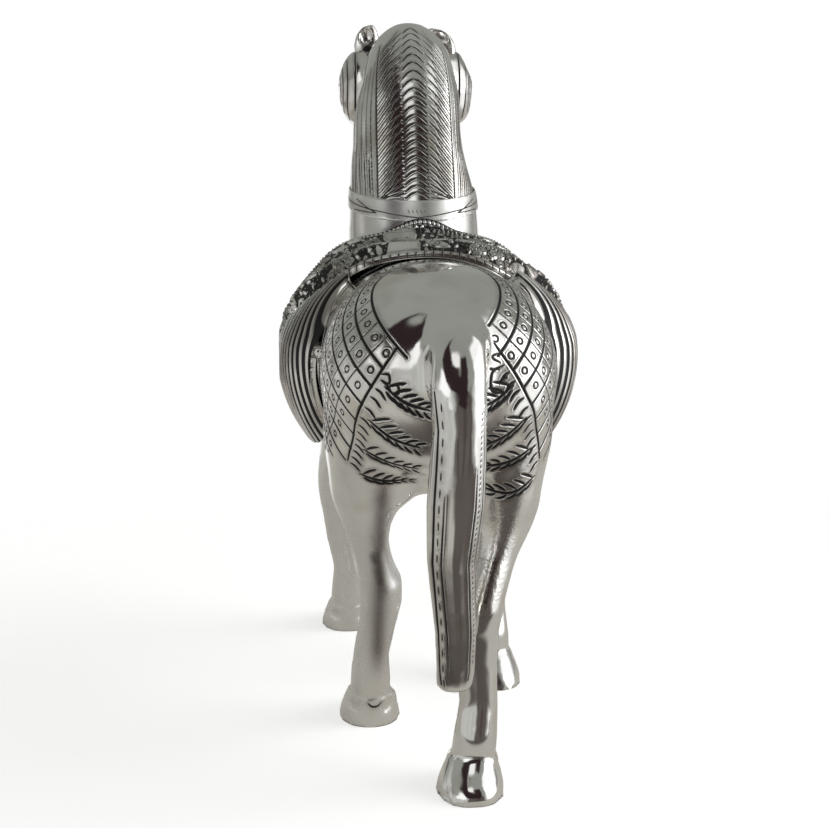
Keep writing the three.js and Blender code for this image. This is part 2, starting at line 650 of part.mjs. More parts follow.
function pleatedGrow(t, angle) {
  const along = (t - pleatFrom) / (pleatTo - pleatFrom);
  const pleat = Math.abs(Math.sin(Math.PI * PLEAT_COUNT * along));
  return CLEARANCE + SIDE_CLOTH_THICKNESS + flareAt(angle) + PLEAT_DEPTH * (pleat - 1);
}

const pleated = loft(trunkSections, {
  rings: PLEAT_COUNT * 4,
  sides: 28,
  from: pleatFrom,
  to: pleatTo,
  grow: pleatedGrow,
});
const sideCloth = pleated.translate(toRight)
  .intersect(sideClothPrism())
  .subtract(clothPrism(CLEARANCE))
  .subtract(skin);
add('side_cloth_left', sideCloth.intersect(sideOfSpine(1)), chasedMetal);
add('side_cloth_right', sideCloth.intersect(sideOfSpine(-1)), chasedMetal);

// Tail
add('tail', tail());

// Leg castings, cut at the trunk and at the hock or the knee, and flat on the ground
for (const one of limbs) {
  const whole = limb(one).subtract(trunk(() => CLEARANCE));
  const upper = whole.intersect(below(trunkJointHeight - HALF_GAP)).intersect(above(one.joint + HALF_GAP));
  const lower = whole.intersect(below(one.joint - HALF_GAP)).intersect(above(0));
  add(`${one.name}_upper`, upper);
  add(`${one.name}_lower`, lower);
}

// The origin is the middle of the footprint, on the ground.
const extent = new THREE.Box3().setFromObject(root);
const middle = extent.getCenter(new THREE.Vector3());
root.position.set(-middle.x, -middle.y, -extent.min.z);

export default root;
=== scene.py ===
# A walking horse statue in polished white metal with blackened engraving, about 25 cm tall.
import math

import bmesh
import bpy
import numpy as np
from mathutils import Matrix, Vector
from mathutils.bvhtree import BVHTree
from mathutils.kdtree import KDTree


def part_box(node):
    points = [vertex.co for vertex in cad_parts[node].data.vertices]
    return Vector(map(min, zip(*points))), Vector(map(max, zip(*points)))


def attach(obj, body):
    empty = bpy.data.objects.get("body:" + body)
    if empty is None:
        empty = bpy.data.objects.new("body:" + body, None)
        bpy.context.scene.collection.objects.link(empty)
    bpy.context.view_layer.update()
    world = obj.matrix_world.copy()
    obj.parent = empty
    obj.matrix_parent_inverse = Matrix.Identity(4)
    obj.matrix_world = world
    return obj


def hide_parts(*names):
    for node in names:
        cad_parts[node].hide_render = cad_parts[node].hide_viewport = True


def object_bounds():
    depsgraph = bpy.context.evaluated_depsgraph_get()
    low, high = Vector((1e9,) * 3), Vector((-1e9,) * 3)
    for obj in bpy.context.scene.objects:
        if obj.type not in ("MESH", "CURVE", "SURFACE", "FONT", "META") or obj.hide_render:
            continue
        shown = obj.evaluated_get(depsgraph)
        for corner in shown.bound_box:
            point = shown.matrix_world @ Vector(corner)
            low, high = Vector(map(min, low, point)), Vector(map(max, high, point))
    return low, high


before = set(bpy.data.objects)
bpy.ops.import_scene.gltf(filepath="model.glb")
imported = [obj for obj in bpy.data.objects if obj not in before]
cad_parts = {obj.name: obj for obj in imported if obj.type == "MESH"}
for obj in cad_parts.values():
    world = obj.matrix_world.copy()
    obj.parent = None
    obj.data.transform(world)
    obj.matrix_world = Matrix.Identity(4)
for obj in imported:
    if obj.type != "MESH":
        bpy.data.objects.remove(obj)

cad_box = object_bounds()
scene = bpy.context.scene
scene.view_settings.view_transform = "Standard"

MM = 0.001
BOX_GAP = 0.1 * MM

# The horse stands square to the axes: its spine is where the two trunk shells meet, and the rear edge of the
# saddle cloth is cut straight across, 22 mm behind the middle of the body.
CLOTH_REAR = 22
spine = (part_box("trunk_shell_left")[0].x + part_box("trunk_shell_right")[1].x) / 2
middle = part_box("saddle_cloth")[1].y - CLOTH_REAR * MM


def at(left, ahead, up):
    """A place in the frame, in millimetres as the horse sees it."""
    return Vector((spine + left * MM, middle - ahead * MM, up * MM))


# Viewpoint: close behind the horse, a little to its left and above it, looking down along its back.
EYE = (44.2, -540.2, 208.7)
LOOK_DOWN_DEG = 10.56
LOOK_RIGHT_DEG = 4.31
LENS_MM = 66.0

camera = bpy.data.objects.new("camera", bpy.data.cameras.new("camera"))
camera.data.lens = LENS_MM
camera.data.sensor_width = 36
camera.data.clip_start = 0.01
camera.location = at(*EYE)
camera.rotation_euler = (math.radians(90 - LOOK_DOWN_DEG), 0, math.radians(180 - LOOK_RIGHT_DEG))
scene.collection.objects.link(camera)
scene.camera = camera


# Studio: a pale table in a grey room. Behind the viewer stands something dark with a lit ceiling over it.
# There is a tall window on the right and a pale wall on the left, and all of it shows in the polished metal.
class Value:
    """A number or colour that travels along a material's links. Arithmetic on it adds the nodes."""

    def __init__(self, recipe, socket):
        self.recipe = recipe
        self.socket = socket

    def math(self, operation, other):
        return self.recipe.node("ShaderNodeMath", {"operation": operation}, {0: self, 1: other})

    def __add__(self, other):
        return self.math("ADD", other)

    def __sub__(self, other):
        return self.math("SUBTRACT", other)

    def __rsub__(self, other):
        return self * -1 + other

    def __mul__(self, other):
        return self.math("MULTIPLY", other)

    def rise(self, low, high):
        """0 below low and 1 above high, with a soft step between. Low may be the larger."""
        return self.recipe.node(
            "ShaderNodeMapRange",
            {"interpolation_type": "SMOOTHSTEP"},
            {"Value": self, "From Min": low, "From Max": high},
        )

    __radd__ = __add__
    __rmul__ = __mul__


class Recipe:
    """The nodes of one finish or of the room."""

    def __init__(self, owner):
        owner.use_nodes = True
        self.tree = owner.node_tree
        self.tree.nodes.clear()

    def node(self, kind, settings=None, inputs=None, out=0):
        made = self.tree.nodes.new(kind)
        for key, value in (settings or {}).items():
            setattr(made, key, value)
        for key, value in (inputs or {}).items():
            if isinstance(value, Value):
                self.tree.links.new(value.socket, made.inputs[key])
            else:
                made.inputs[key].default_value = value
        return Value(self, made.outputs[out]) if made.outputs else None

    def mix(self, share, first, second):
        colours = {0: share, 6: first, 7: second}
        return self.node("ShaderNodeMix", {"data_type": "RGBA"}, colours, out=2)

    def noise(self, place, scale, detail=2.0, rough=0.5):
        inputs = {"Vector": place, "Scale": scale, "Detail": detail, "Roughness": rough}
        return self.node("ShaderNodeTexNoise", None, inputs)


CEILING = (0.31, 0.32, 0.295, 1)
DARK_SHAPE = (0.030, 0.018, 0.020, 1)
BRIGHT_WALL = (1.15, 1.15, 1.15, 1)
LIGHT_WALL = (0.60, 0.60, 0.58, 1)
DARK_WALL = (0.075, 0.058, 0.052, 1)
FLOOR = (0.52, 0.50, 0.46, 1)
DARK_FLOOR = (0.30, 0.28, 0.25, 1)
DARK_STRIPE = (0.10, 0.09, 0.08, 1)
PALE_STRIPE = (0.60, 0.59, 0.57, 1)
NEAR_TABLE = (0.45, 0.42, 0.38, 1)
# Painted light on the table, seen only in reflections: a glow near the horse and painted shade behind it.
PAINTED_TABLE_GLOW = (0.42, 0.41, 0.385, 1)
PAINTED_SHADE_TABLE = (0.16, 0.13, 0.12, 1)
TABLE_WHITE = (0.95, 0.95, 0.95, 1)
WHITE = (1, 1, 1, 1)
BLACK = (0, 0, 0, 1)

world = bpy.data.worlds.new("studio")
scene.world = world
sky = Recipe(world)
way = sky.node("ShaderNodeTexCoord")
split = sky.node("ShaderNodeSeparateXYZ", None, {0: way})
east, north, height = (Value(sky, split.socket.node.outputs[i]) for i in range(3))
bearing = sky.node("ShaderNodeMath", {"operation": "ARCTAN2"}, {0: east, 1: north}) * (180 / math.pi)
tilt = sky.noise(way, 1.7, 2)
level = height + tilt * 0.14 - 0.07


def sector(from_deg, to_deg, soft=5):
    """1 where the bearing from the horse's rear, towards its left, lies in a sector of the room."""
    return bearing.rise(from_deg - soft, from_deg + soft) * bearing.rise(to_deg + soft, to_deg - soft)


def layer(low, high, soft=0.03):
    """1 where the level of the room lies between two heights."""
    return level.rise(low - soft, low + soft) * level.rise(high + soft, high - soft)


stripe_place = sky.node("ShaderNodeCombineXYZ", None, {0: bearing * 0.055, 1: height * 1.3, 2: 3.7})
stripes = sky.noise(stripe_place, 1.0, 3, 0.65)
slant = level - bearing * 0.0044
beam = slant.rise(0.29, 0.35) * slant.rise(0.69, 0.63) * sector(-24, 74)
window_share = sector(-112, -56) * layer(-0.5, 0.84, 0.05) + sector(160, 172) * layer(-0.5, 0.1)
room = sky.mix(stripes.rise(0.38, 0.62), DARK_STRIPE, PALE_STRIPE)
for share, colour in (
    (sector(14, 84) * 0.8, LIGHT_WALL),
    (level.rise(-0.12, -0.28), FLOOR),
    (level.rise(-0.46, -0.66), DARK_FLOOR),
    (sector(-46, 11, 6) * level.rise(-0.62, -0.5) * 0.9, DARK_WALL),
    (level.rise(0.30, 0.40), CEILING),
    (level.rise(0.10, 0.18) * (sector(118, 181) + sector(-181, -125)) * 0.85, CEILING),
    (layer(0.24, 0.54) * sector(26, 68, 8), BRIGHT_WALL),
    (layer(0.70, 0.87) * sector(-5, 36, 5) * 0.85, BRIGHT_WALL),
    (layer(0.30, 0.80) * sector(-32, -8, 4), DARK_SHAPE),
    (beam, DARK_SHAPE),
    (window_share, BRIGHT_WALL),
):
    room = sky.mix(share, room, colour)
seen = sky.node("ShaderNodeLightPath")
background = sky.node("ShaderNodeBackground", None, {"Color": sky.mix(seen, room, WHITE), "Strength": 1.0})
sky.node("ShaderNodeOutputWorld", None, {"Surface": background})

table_mesh = bpy.data.meshes.new("table")
form = bmesh.new()
bmesh.ops.create_circle(form, cap_ends=True, segments=64, radius=1.0)
form.to_mesh(table_mesh)
form.free()
table = bpy.data.objects.new("table", table_mesh)
scene.collection.objects.link(table)
table_finish = bpy.data.materials.new("table_white")
recipe = Recipe(table_finish)
place = recipe.node("ShaderNodeTexCoord", out=3)
reach = recipe.node("ShaderNodeVectorMath", {"operation": "LENGTH"}, {0: place}, out=1)
behind = recipe.node("ShaderNodeSeparateXYZ", None, {0: place}, out=1).rise(0.13, 0.17)
seen = recipe.node("ShaderNodeLightPath")
# For all rays but the camera's, the table glows near the horse as painted light, and behind the horse it is
# painted dark as painted shade.
paint = recipe.mix(behind, NEAR_TABLE, PAINTED_SHADE_TABLE)
painted_glow = recipe.mix(behind, PAINTED_TABLE_GLOW, BLACK)
board = recipe.node("ShaderNodeBsdfPrincipled", None, {
    "Base Color": recipe.mix(seen, paint, TABLE_WHITE),
    "Roughness": 0.9,
    "Emission Color": recipe.mix(seen, painted_glow, WHITE),
    "Emission Strength": 0.55,
})
clear = recipe.node("ShaderNodeBsdfTransparent")
edge = recipe.node("ShaderNodeMixShader", None, {0: reach.rise(0.16, 0.40), 1: board, 2: clear})
recipe.node("ShaderNodeOutputMaterial", None, {"Surface": edge})
table_mesh.materials.append(table_finish)


def lamp(name, place, size, watts, aim):
    """A soft square lamp that shines on a place."""
    light = bpy.data.lights.new(name, "AREA")
    light.size = size
    light.energy = watts
    holder = bpy.data.objects.new(name, light)
    holder.location = place
    holder.rotation_euler = (aim - place).to_track_quat("-Z", "Y").to_euler()
    scene.collection.objects.link(holder)


lamp("window_lamp", at(-1250, -250, 500), 0.9, 5.5, at(0, 0, 120))


# The cast animal: trunk, neck, head and legs are separate castings of white metal, brazed together, ground
# smooth at the joints and polished as one body. So their skin is formed as one and parted at the joints.
LEGS = ("hind_leg_left", "hind_leg_right", "fore_leg_left", "fore_leg_right")
CASTINGS = ["trunk_shell_left", "trunk_shell_right", "neck_shell", "head"]
CASTINGS += [f"{leg}_{half}" for leg in LEGS for half in ("upper", "lower")]
OVERLAP = 0.25 * MM
BODY_GRAIN = 1.3 * MM


def form_of(*meshes):
    """An editable form made of one mesh or several."""
    form = bmesh.new()
    for mesh in meshes:
        form.from_mesh(mesh)
    return form


def settle(form, mesh):
    """Writes a form into a mesh and lets go of it."""
    form.to_mesh(mesh)
    form.free()


def piece_of(name, form):
    """A new piece made of a form, at the origin."""
    piece = bpy.data.objects.new(name, bpy.data.meshes.new(name))
    settle(form, piece.data)
    scene.collection.objects.link(piece)
    return piece


def values_of(items, key, width=1, kind=float):
    """One property of many corners, edges or faces, as an array."""
    found = np.empty(len(items) * width, dtype=kind)
    items.foreach_get(key, found)
    return found.reshape(-1, width) if width > 1 else found


def keep_values(mesh, name, values):
    """Stores a number for each corner, for the finish to read."""
    mesh.attributes.new(name, "FLOAT", "POINT").data.foreach_set("value", values)


def islands(form):
    """The separate closed surfaces of a form, as sets of corners."""
    remaining = set(form.verts)
    found = []
    while remaining:
        island = {remaining.pop()}
        queue = list(island)
        while queue:
            for edge in queue.pop().link_edges:
                for corner in edge.verts:
                    if corner in remaining:
                        remaining.discard(corner)
                        island.add(corner)
                        queue.append(corner)
        found.append(island)
    return found


def moulded(name, nodes, grain):
    """One closed skin round some of the solids, with an even grain. Hollows inside are left out."""
    form = form_of(*(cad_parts[node].data for node in nodes))
    bmesh.ops.remove_doubles(form, verts=form.verts, dist=1e-6)
    form.normal_update()
    for corner in form.verts:
        corner.co += corner.normal * OVERLAP
    piece = piece_of(name, form)
    remesh = piece.modifiers.new("remesh", "REMESH")
    remesh.mode = "VOXEL"
    remesh.voxel_size = grain
    piece.data = bpy.data.meshes.new_from_object(piece.evaluated_get(bpy.context.evaluated_depsgraph_get()))
    piece.modifiers.clear()
    form = form_of(piece.data)
    shells = sorted(islands(form), key=lambda shell: np.ptp([corner.co.z for corner in shell]))
    bmesh.ops.delete(form, geom=[v for shell in shells[:-1] for v in shell], context="VERTS")
    settle(form, piece.data)
    return piece


class Surface:
    """The corners of a mesh as arrays, for work that moves them all."""

    def __init__(self, mesh):
        self.mesh = mesh
        self.read()

    def read(self):
        self.co = values_of(self.mesh.vertices, "co", 3)
        self.edges = values_of(self.mesh.edges, "vertices", 2, np.int32)
        self.out = values_of(self.mesh.vertex_normals, "vector", 3)

    def write(self):
        self.mesh.vertices.foreach_set("co", self.co.ravel())
        self.mesh.update()
        self.read()

    def averaged(self, values, share, rounds):
        """The values after each corner has moved towards its neighbours' mean, round after round."""
        a, b = self.edges.T
        count = len(values)
        degree = np.maximum(np.bincount(self.edges.ravel(), minlength=count), 1)[:, None]
        for _ in range(rounds):
            total = np.stack([
                np.bincount(a, values[b, k], count) + np.bincount(b, values[a, k], count) for k in range(3)
            ], axis=1)
            values = values + (total / degree - values) * share[:, None]
        return values

    def smooth(self, share, rounds):
        """Takes the ripples out and keeps the girth: what the first pass lost comes back, smoothed too."""
        smoothed = self.averaged(self.co, share, rounds)
        lost = self.averaged(self.co - smoothed, share, rounds)
        self.co = smoothed + lost

    def buff(self, rounds):
        """Rounds all edges alike."""
        self.smooth(np.full(len(self.co), 0.5), rounds)

    def horse(self):
        """Left, ahead and up of every corner, in millimetres."""
        return (self.co - np.array(at(0, 0, 0))) / MM * np.array([1, -1, 1])

    def swell(self, centre, radii, amount):
        """Raises a soft bump, or a hollow, of this height and half sizes, in millimetres."""
        near = (self.horse() - np.array(centre)) / np.array(radii)
        fall = np.clip(1 - (near ** 2).sum(axis=1), 0, 1) ** 2
        self.co += self.out * (fall * amount * MM)[:, None]


def soft_step(values, low, high):
    t = np.clip((values - low) / (high - low), 0, 1)
    return t * t * (3 - 2 * t)


def tree_of(*meshes):
    """Surfaces to measure from."""
    form = form_of(*meshes)
    tree = BVHTree.FromBMesh(form)
    form.free()
    return tree


TAIL_ROOT_AHEAD = -76
tail_tree = tree_of(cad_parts["tail"].data)
cast_tree = tree_of(*(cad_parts[node].data for node in CASTINGS))


def tail_lead(places):
    """How much nearer a place lies to the tail than to the body, in millimetres."""
    lead = np.full(len(places), -9.0)
    for i in np.nonzero(places[:, 1] > at(0, TAIL_ROOT_AHEAD, 0).y)[0]:
        place = Vector(places[i])
        lead[i] = (cast_tree.find_nearest(place)[3] - tail_tree.find_nearest(place)[3]) / MM
    return lead


# The file and the buff rounded the body more than the legs and the head, and left the soles sharp
skin = moulded("skin", CASTINGS + ["tail"], BODY_GRAIN)
body = Surface(skin.data)
body.co -= body.out * OVERLAP
on_tail = soft_step(tail_lead(body.co), -1.5, 1.5)
left, ahead, up = body.horse().T
on_body = soft_step(up, 78, 102)
on_head = soft_step(ahead, 66, 84) * soft_step(up, 170, 184)
share = 0.09 + 0.41 * on_body * (1 - 0.72 * on_head)
share *= 0.25 + 0.75 * soft_step(up, 6, 14)
share *= 1 - 0.5 * on_tail * soft_step(up, 146, 136)
share[up < 0.9] = 0
body.smooth(share, 46)

# Fuller and hollower places: croup, neck, poll, forearms, thighs, hocks, jowls and the left hind ergot
for spot, radii, amount in (
    ((0, -48, 166), (34, 34, 16), -2.0),
    ((24, 66, 205), (14, 34, 34), 1.6),
    ((-24, 66, 203), (14, 34, 24), -1.2),
    ((0, 80, 250), (14, 14, 8), 0.9),
    ((34, 60, 68), (12, 16, 22), 1.3),
    ((-20, 52, 68), (8, 14, 20), -0.8),
    ((14, -48, 66), (9, 14, 18), -1.2),
    ((-27, -60, 84), (12, 20, 16), 1.4),
    ((8, -58, 94), (14, 16, 12), 1.6),
    ((36, -40, 84), (12, 16, 14), 1.0),
    ((30, -16, 24), (12, 14, 12), 0.7),
    ((-27, 93, 236), (8, 12, 8), -1.0),
    ((-27, 93, 213), (8, 12, 9), 1.3),
    ((22, 72, 214), (12, 26, 14), 1.1),
    ((-22, 60, 203), (12, 30, 26), -1.2),
    ((12, -17, 66), (8, 14, 16), -1.0),
    ((33, 89, 48), (9, 14, 26), 1.2),
    ((11, -22, 9), (5, 7, 4.5), 1.8),
):
    body.swell(spot, radii, amount)

# The tail hangs a little to the left and narrows downwards
left, ahead, up = body.horse().T
TAIL_MIDDLE = -2.5
TAIL_HEIGHTS = (41, 48, 60, 83, 100, 123, 135, 148)
TAIL_SHIFT = (1.4, 1.1, 1.2, 2.7, 1.6, 0.5, 0.8, 0)
tail_shift = np.interp(up, TAIL_HEIGHTS, TAIL_SHIFT)
tail_girth = np.interp(up, TAIL_HEIGHTS, (1.05, 0.97, 0.9, 0.88, 0.98, 0.93, 1, 1))
moved = (left - TAIL_MIDDLE) * (tail_girth - 1) + tail_shift
body.co[:, 0] += on_tail * moved * MM

# Hooves: a ledge at the coronet, an upright wall and a flat sole
for side_mm, ahead_mm in ((21, -17), (-8.5, -82.5), (25.5, 89), (-28, 16)):
    reach = np.hypot(left - side_mm, ahead - ahead_mm)
    profile = np.interp(up, (0, 2, 8, 10.6, 11.8), (0.9, 1.0, 0.9, 1.1, 0)) * (reach < 24)
    body.co[:, 0] += (left - side_mm) / np.maximum(reach, 1) * profile * MM
    body.co[:, 1] -= (ahead - ahead_mm) / np.maximum(reach, 1) * profile * MM
    heel = 3.6 if ahead_mm < -50 else 1.6
    body.co[:, 1] += np.clip((ahead_mm - ahead) / 9, 0, 1) * soft_step(up, 15, 3) * (reach < 24) * heel * MM
body.co[:, 2] *= soft_step(up, 0.5, 2.2)

# Flutes down the tail
TAIL_HALF = (4.6, 6.0, 6.5, 7.1, 8.0, 7.7, 8.4, 8.4)
share_out = (left - TAIL_MIDDLE) / np.interp(up, TAIL_HEIGHTS, TAIL_HALF)
flute = np.cos(share_out * 9.4 + 0.6) * soft_step(up, 122, 100) * on_tail * np.clip(body.out[:, 1], 0, 1)
body.co += body.out * (flute * 0.14 * MM)[:, None]
body.co[:, 1] = np.minimum(body.co[:, 1], cad_box[1].y - BOX_GAP)
body.write()
tail_share = body.averaged(np.repeat(on_tail[:, None], 3, axis=1), np.full(len(on_tail), 0.5), 6)[:, 0]
keep_values(skin.data, "tail", tail_share)


# Engraving: the lines are cut with a graver after polishing, and the cuts are blackened. Each cut is a trail
# of points on the skin with the width of the tool there.
CUT_STEP = 0.25
CUT_DEPTH = 0.32 * MM
BURR = 0.07 * MM


def trail(points, step):
    """Points along a smooth curve through the given ones, a step apart."""
    points = [np.array(p, dtype=float) for p in points]
    ends = [2 * points[0] - points[1]] + points + [2 * points[-1] - points[-2]]
    walk = []
    for a, b, c, d in zip(ends, ends[1:], ends[2:], ends[3:]):
        pieces = max(1, int(np.linalg.norm(c - b) / step))
        for i in range(pieces):
            t = i / pieces
            walk.append(0.5 * (2 * b + (c - a) * t + (2 * a - 5 * b + 4 * c - d) * t ** 2
                               + (3 * b - a - 3 * c + d) * t ** 3))
    walk.append(points[-1])
    return walk


class Graver:
    """Collects cuts on a skin and carves them."""

    def __init__(self, surface):
        self.surface = surface
        self.tree = tree_of(surface.mesh)
        self.step = CUT_STEP
        self.points = []
        self.radii = []

    def cast(self, origin, direction):
        return self.tree.ray_cast(origin, direction)[0]

    def cut(self, chart, points, width=0.7, taper=0.6, within=None, step=None):
        """Cuts a line along chart points. The chart turns a pair of numbers into a place on the skin."""
        walk = trail(points, step or self.step)
        for i, p in enumerate(walk):
            if within and not within(*p):
                continue
            spot = chart(*p)
            if spot is None:
                continue
            t = i / max(1, len(walk) - 1)
            self.points.append(spot)
            self.radii.append(width / 2 * MM * (1 - taper * abs(2 * t - 1) ** 3))

    def ring(self, chart, centre, radius, width=0.5, within=None):
        turns = [i * math.pi / 4 for i in range(9)]
        spots = [(centre[0] + radius[0] * math.cos(a), centre[1] + radius[1] * math.sin(a)) for a in turns]
        self.cut(chart, spots, width, 0, within, CUT_STEP)

    def near_points(self):
        """The cuts' points, sorted for finding the ones nearest to a place."""
        tree = KDTree(len(self.points))
        for i, spot in enumerate(self.points):
            tree.insert(spot, i)
        tree.balance()
        return tree

    def refine(self, passes):
        """Gives the skin a finer grain near the cuts, in passes of a reach in millimetres."""
        near = self.near_points()
        form = form_of(self.surface.mesh)
        fine = form.verts.layers.float.new("fine")
        for reach in passes:
            close = [near.find(face.calc_center_median())[2] < reach * MM for face in form.faces]
            edges = {edge for face, hit in zip(form.faces, close) if hit for edge in face.edges}
            made = bmesh.ops.subdivide_edges(form, edges=list(edges), cuts=1, use_grid_fill=True)
            for corner in {v for edge in edges if edge.is_valid for v in edge.verts}:
                corner[fine] = 1
            for item in made["geom"]:
                if isinstance(item, bmesh.types.BMVert):
                    item[fine] = 1
        settle(form, self.surface.mesh)
        self.surface.read()
        mark = self.surface.mesh.attributes["fine"]
        marks = values_of(mark.data, "value")
        self.surface.mesh.attributes.remove(mark)
        self.surface.smooth(marks * 0.5, 7)
        self.surface.write()

    def carve(self, depth=CUT_DEPTH):
        """Sinks the cuts into the skin and keeps the distance to them, in millimetres, for the finish."""
        near, radii = self.near_points(), self.radii
        gap = np.empty(len(self.surface.co))
        for i, spot in enumerate(self.surface.co):
            gap[i] = min(found[2] - radii[found[1]] for found in near.find_n(spot, 3))
        gap /= MM
        sink = soft_step(gap, 0.12, -0.34)
        burr = np.exp(-((gap - 0.3) / 0.16) ** 2)
        self.surface.co += self.surface.out * (burr * BURR - sink * depth)[:, None]
        self.surface.write()
        keep_values(self.surface.mesh, "cut", np.clip(gap, -2, 2))


graver = Graver(body)
RUMP_CENTRE = at(0, -50, 120)


def haunch(side):
    """Chart of a haunch, in degrees: out from the tail to one side, and up."""
    def chart(out, lift):
        out, lift = math.radians(out), math.radians(lift)
        way = Vector((side * math.sin(out) * math.cos(lift), math.cos(out) * math.cos(lift), math.sin(lift)))
        spot = graver.cast(RUMP_CENTRE, way)
        return None if spot and tail_tree.find_nearest(spot)[3] < 1.6 * MM else spot
    return chart


# Net on the haunches: two families of cut lines cross at right angles, and each mesh holds a ring punch. It
# starts beside the smooth croup, and its lower border carries a fringe.
NET_SLOPE_A = 0.87
NET_SLOPE_B = 1.05
NET_PITCH_A = 10.1
DEGREE_STEP = 0.3
graver.step = DEGREE_STEP
for side, croup, first_pitch, foot, pitch_b in ((1, 12, 11.6, 47.5, 11.6), (-1, 22, 12, 46.5, 10.7)):
    chart = haunch(side)
    border = [(17, 31), (24, 21.5), (30, 12), (35, 5), (41, -5), (45, -16)]
    if side > 0:
        border = [(20, 29.5), (25, 22), (31, 13), (36, 5), (42, -5), (48, -17)]
    rows = [croup, croup - first_pitch] + [croup - first_pitch - NET_PITCH_A * k for k in range(1, 9)]

    def crossing(a, b):
        """Where the line a of one family meets the line b of the other."""
        out = (b - a) / (NET_SLOPE_A + NET_SLOPE_B)
        return out, a + NET_SLOPE_A * out

    def in_net(out, lift):
        edge = np.interp(-lift, [-p[1] for p in border], [p[0] for p in border])
        return lift - NET_SLOPE_A * out < croup + 0.5 and lift > -17 and edge - 0.3 < out < 88

    def in_rows(out, lift):
        """The first line of the net runs on to the saddle cloth."""
        return in_net(out, lift) or lift > 26

    for a in rows:
        graver.cut(chart, [crossing(a, b) for b in (30, 60, 90, 120, 150)], 0.95, 0.2, in_rows)
    for k in range(1, 11):
        b = foot + pitch_b * k
        line = [crossing(a, b) for a in (croup, croup - 40, croup - 80, croup - 110)]
        graver.cut(chart, line, 0.5, 0.2, in_net)
    graver.cut(chart, border, 0.9, 0.3)
    for i in range(9):
        for j in range(11):
            spot = crossing((rows[i] + rows[i + 1]) / 2, foot + pitch_b * (j + 0.45))
            wide = 1.15 / math.cos(math.radians(spot[1]))
            graver.ring(chart, spot, (wide, 1.15), 0.55, in_net)

    # Fringe under the border
    for out, lift in trail(border, 3.2)[3:]:
        stroke = [(out - 1.2, lift - 0.8), (out - 3.6, lift - 2.2), (out - 5.6, lift - 5)]
        graver.cut(chart, stroke, 0.85, 0.7)

    # Nested scrolls beside the tail's root on the right, and small curls on the left
    if side < 0:
        for x, y in ((14.5, 26.5), (17.5, 18.5)):
            graver.cut(chart, [(x + 3, y + 4.5), (x - 2, y + 2), (x - 2, y - 4), (x + 4, y - 5)], 0.95, 0.6)
            graver.cut(chart, [(x + 4, y + 0.5), (x + 1.4, y - 1), (x + 4.6, y - 2.6)], 0.8, 0.5)
    else:
        for x, y in ((24, 18.5), (20.5, 15)):
            curl = [(x + 1.6, y + 1.6), (x - 1.4, y + 1.6), (x - 1.8, y - 1.2), (x + 0.8, y - 1)]
            graver.cut(chart, curl, 0.7, 0.5)


FERN_BOW = 0.08


def fern(chart, root, tip, barbs, length):
    """A fern leaf: a bowed stem with slanting barbs on both sides that lean towards its tip."""
    root, tip = np.array(root, dtype=float), np.array(tip, dtype=float)
    along = tip - root
    across = np.array([-along[1], along[0]])
    graver.cut(chart, [root, root + along * 0.5 + across * FERN_BOW, tip], 1.0, 0.5)
    unit = along / np.linalg.norm(along)
    over = np.array([-unit[1], unit[0]])
    for i in range(barbs):
        t = (i + 0.35) / barbs
        foot = root + along * t + across * FERN_BOW * 4 * t * (1 - t)
        reach = length * (1 - 0.45 * t)
        for side, lean in ((1, 0.45), (-1, 0.95)):
            start = foot + over * side * 0.9
            end = start + unit * reach * 0.8 + over * side * reach * lean * 0.62
            graver.cut(chart, [start, (start + end) / 2 + over * side * 0.3, end], 1.0, 0.75)


# Ferns between the fringe and the tail, four on each haunch
for side in (1, -1):
    for root, tip, length in (((24, 16), (7, 8), 7.5), ((31, 3.5), (11, -7), 8),
                              ((38, -10.5), (13, -18.5), 8), ((43, -23), (18, -32), 7.5)):
        fern(haunch(side), root, tip, 6, length)


# Mane: part of the neck's casting, and cut as hair that is combed to both sides of the crest in a
# herringbone. Long locks hang outside it.
MANE_FOOT = 183
MANE_LENGTH = 66
NECK_FOOT_AHEAD, NECK_FOOT_UP = 40, 142
NECK_LEAN, NECK_RISE = 47, 95


def mane(turn, rise):
    """Chart of the neck: degrees out from the crest, towards the left, and millimetres up from the collar."""
    height = MANE_FOOT + rise * 0.8
    lift = math.radians(44) * max(0, rise / MANE_LENGTH) ** 2
    turn = math.radians(turn)
    way = Vector((math.sin(turn) * math.cos(lift), math.cos(turn) * math.cos(lift), math.sin(lift)))
    axis_ahead = NECK_FOOT_AHEAD + NECK_LEAN * (height - NECK_FOOT_UP) / NECK_RISE - 6
    return graver.cast(at(0, axis_ahead, height), way)


graver.step = 0.4
for side in (1, -1):
    for i in range(22):
        y = 4 + 2.95 * i
        out = side * (1 + 0.25 * (i / 22) ** 2)
        graver.cut(mane, [(side * 0.4, y), (5 * out, y - 0.9), (10 * out, y - 3)], 0.62, 0.5)
        drop = min(10, y - 2)
        for shift, start, width in ((0, 11.5, 0.48), (1.45, 16.5, 0.396)):
            lock = [(start * out, y - 2.6 + shift), (22 * out, y - 2.2 + shift - drop * 0.45),
                    (33 * out, y - 2.2 + shift - drop)]
            graver.cut(mane, lock, width, 0.45)
    graver.cut(mane, [(side * 44, 58), (side * 37, 40), (side * 35, 20), (side * 35, 1)], 0.6, 0.2)
    for i, turn in enumerate((40, 46, 53, 61, 70, 80, 91, 103, 116)):
        lock = [(side * (turn + 5), 52 - 2.2 * i), (side * (turn + 1.5), 26), (side * turn, 1)]
        graver.cut(mane, lock, 0.45, 0.5)
        graver.cut(mane, [(side * (turn + 4), 20), (side * (turn + 3), 1)], 0.55, 0.6)


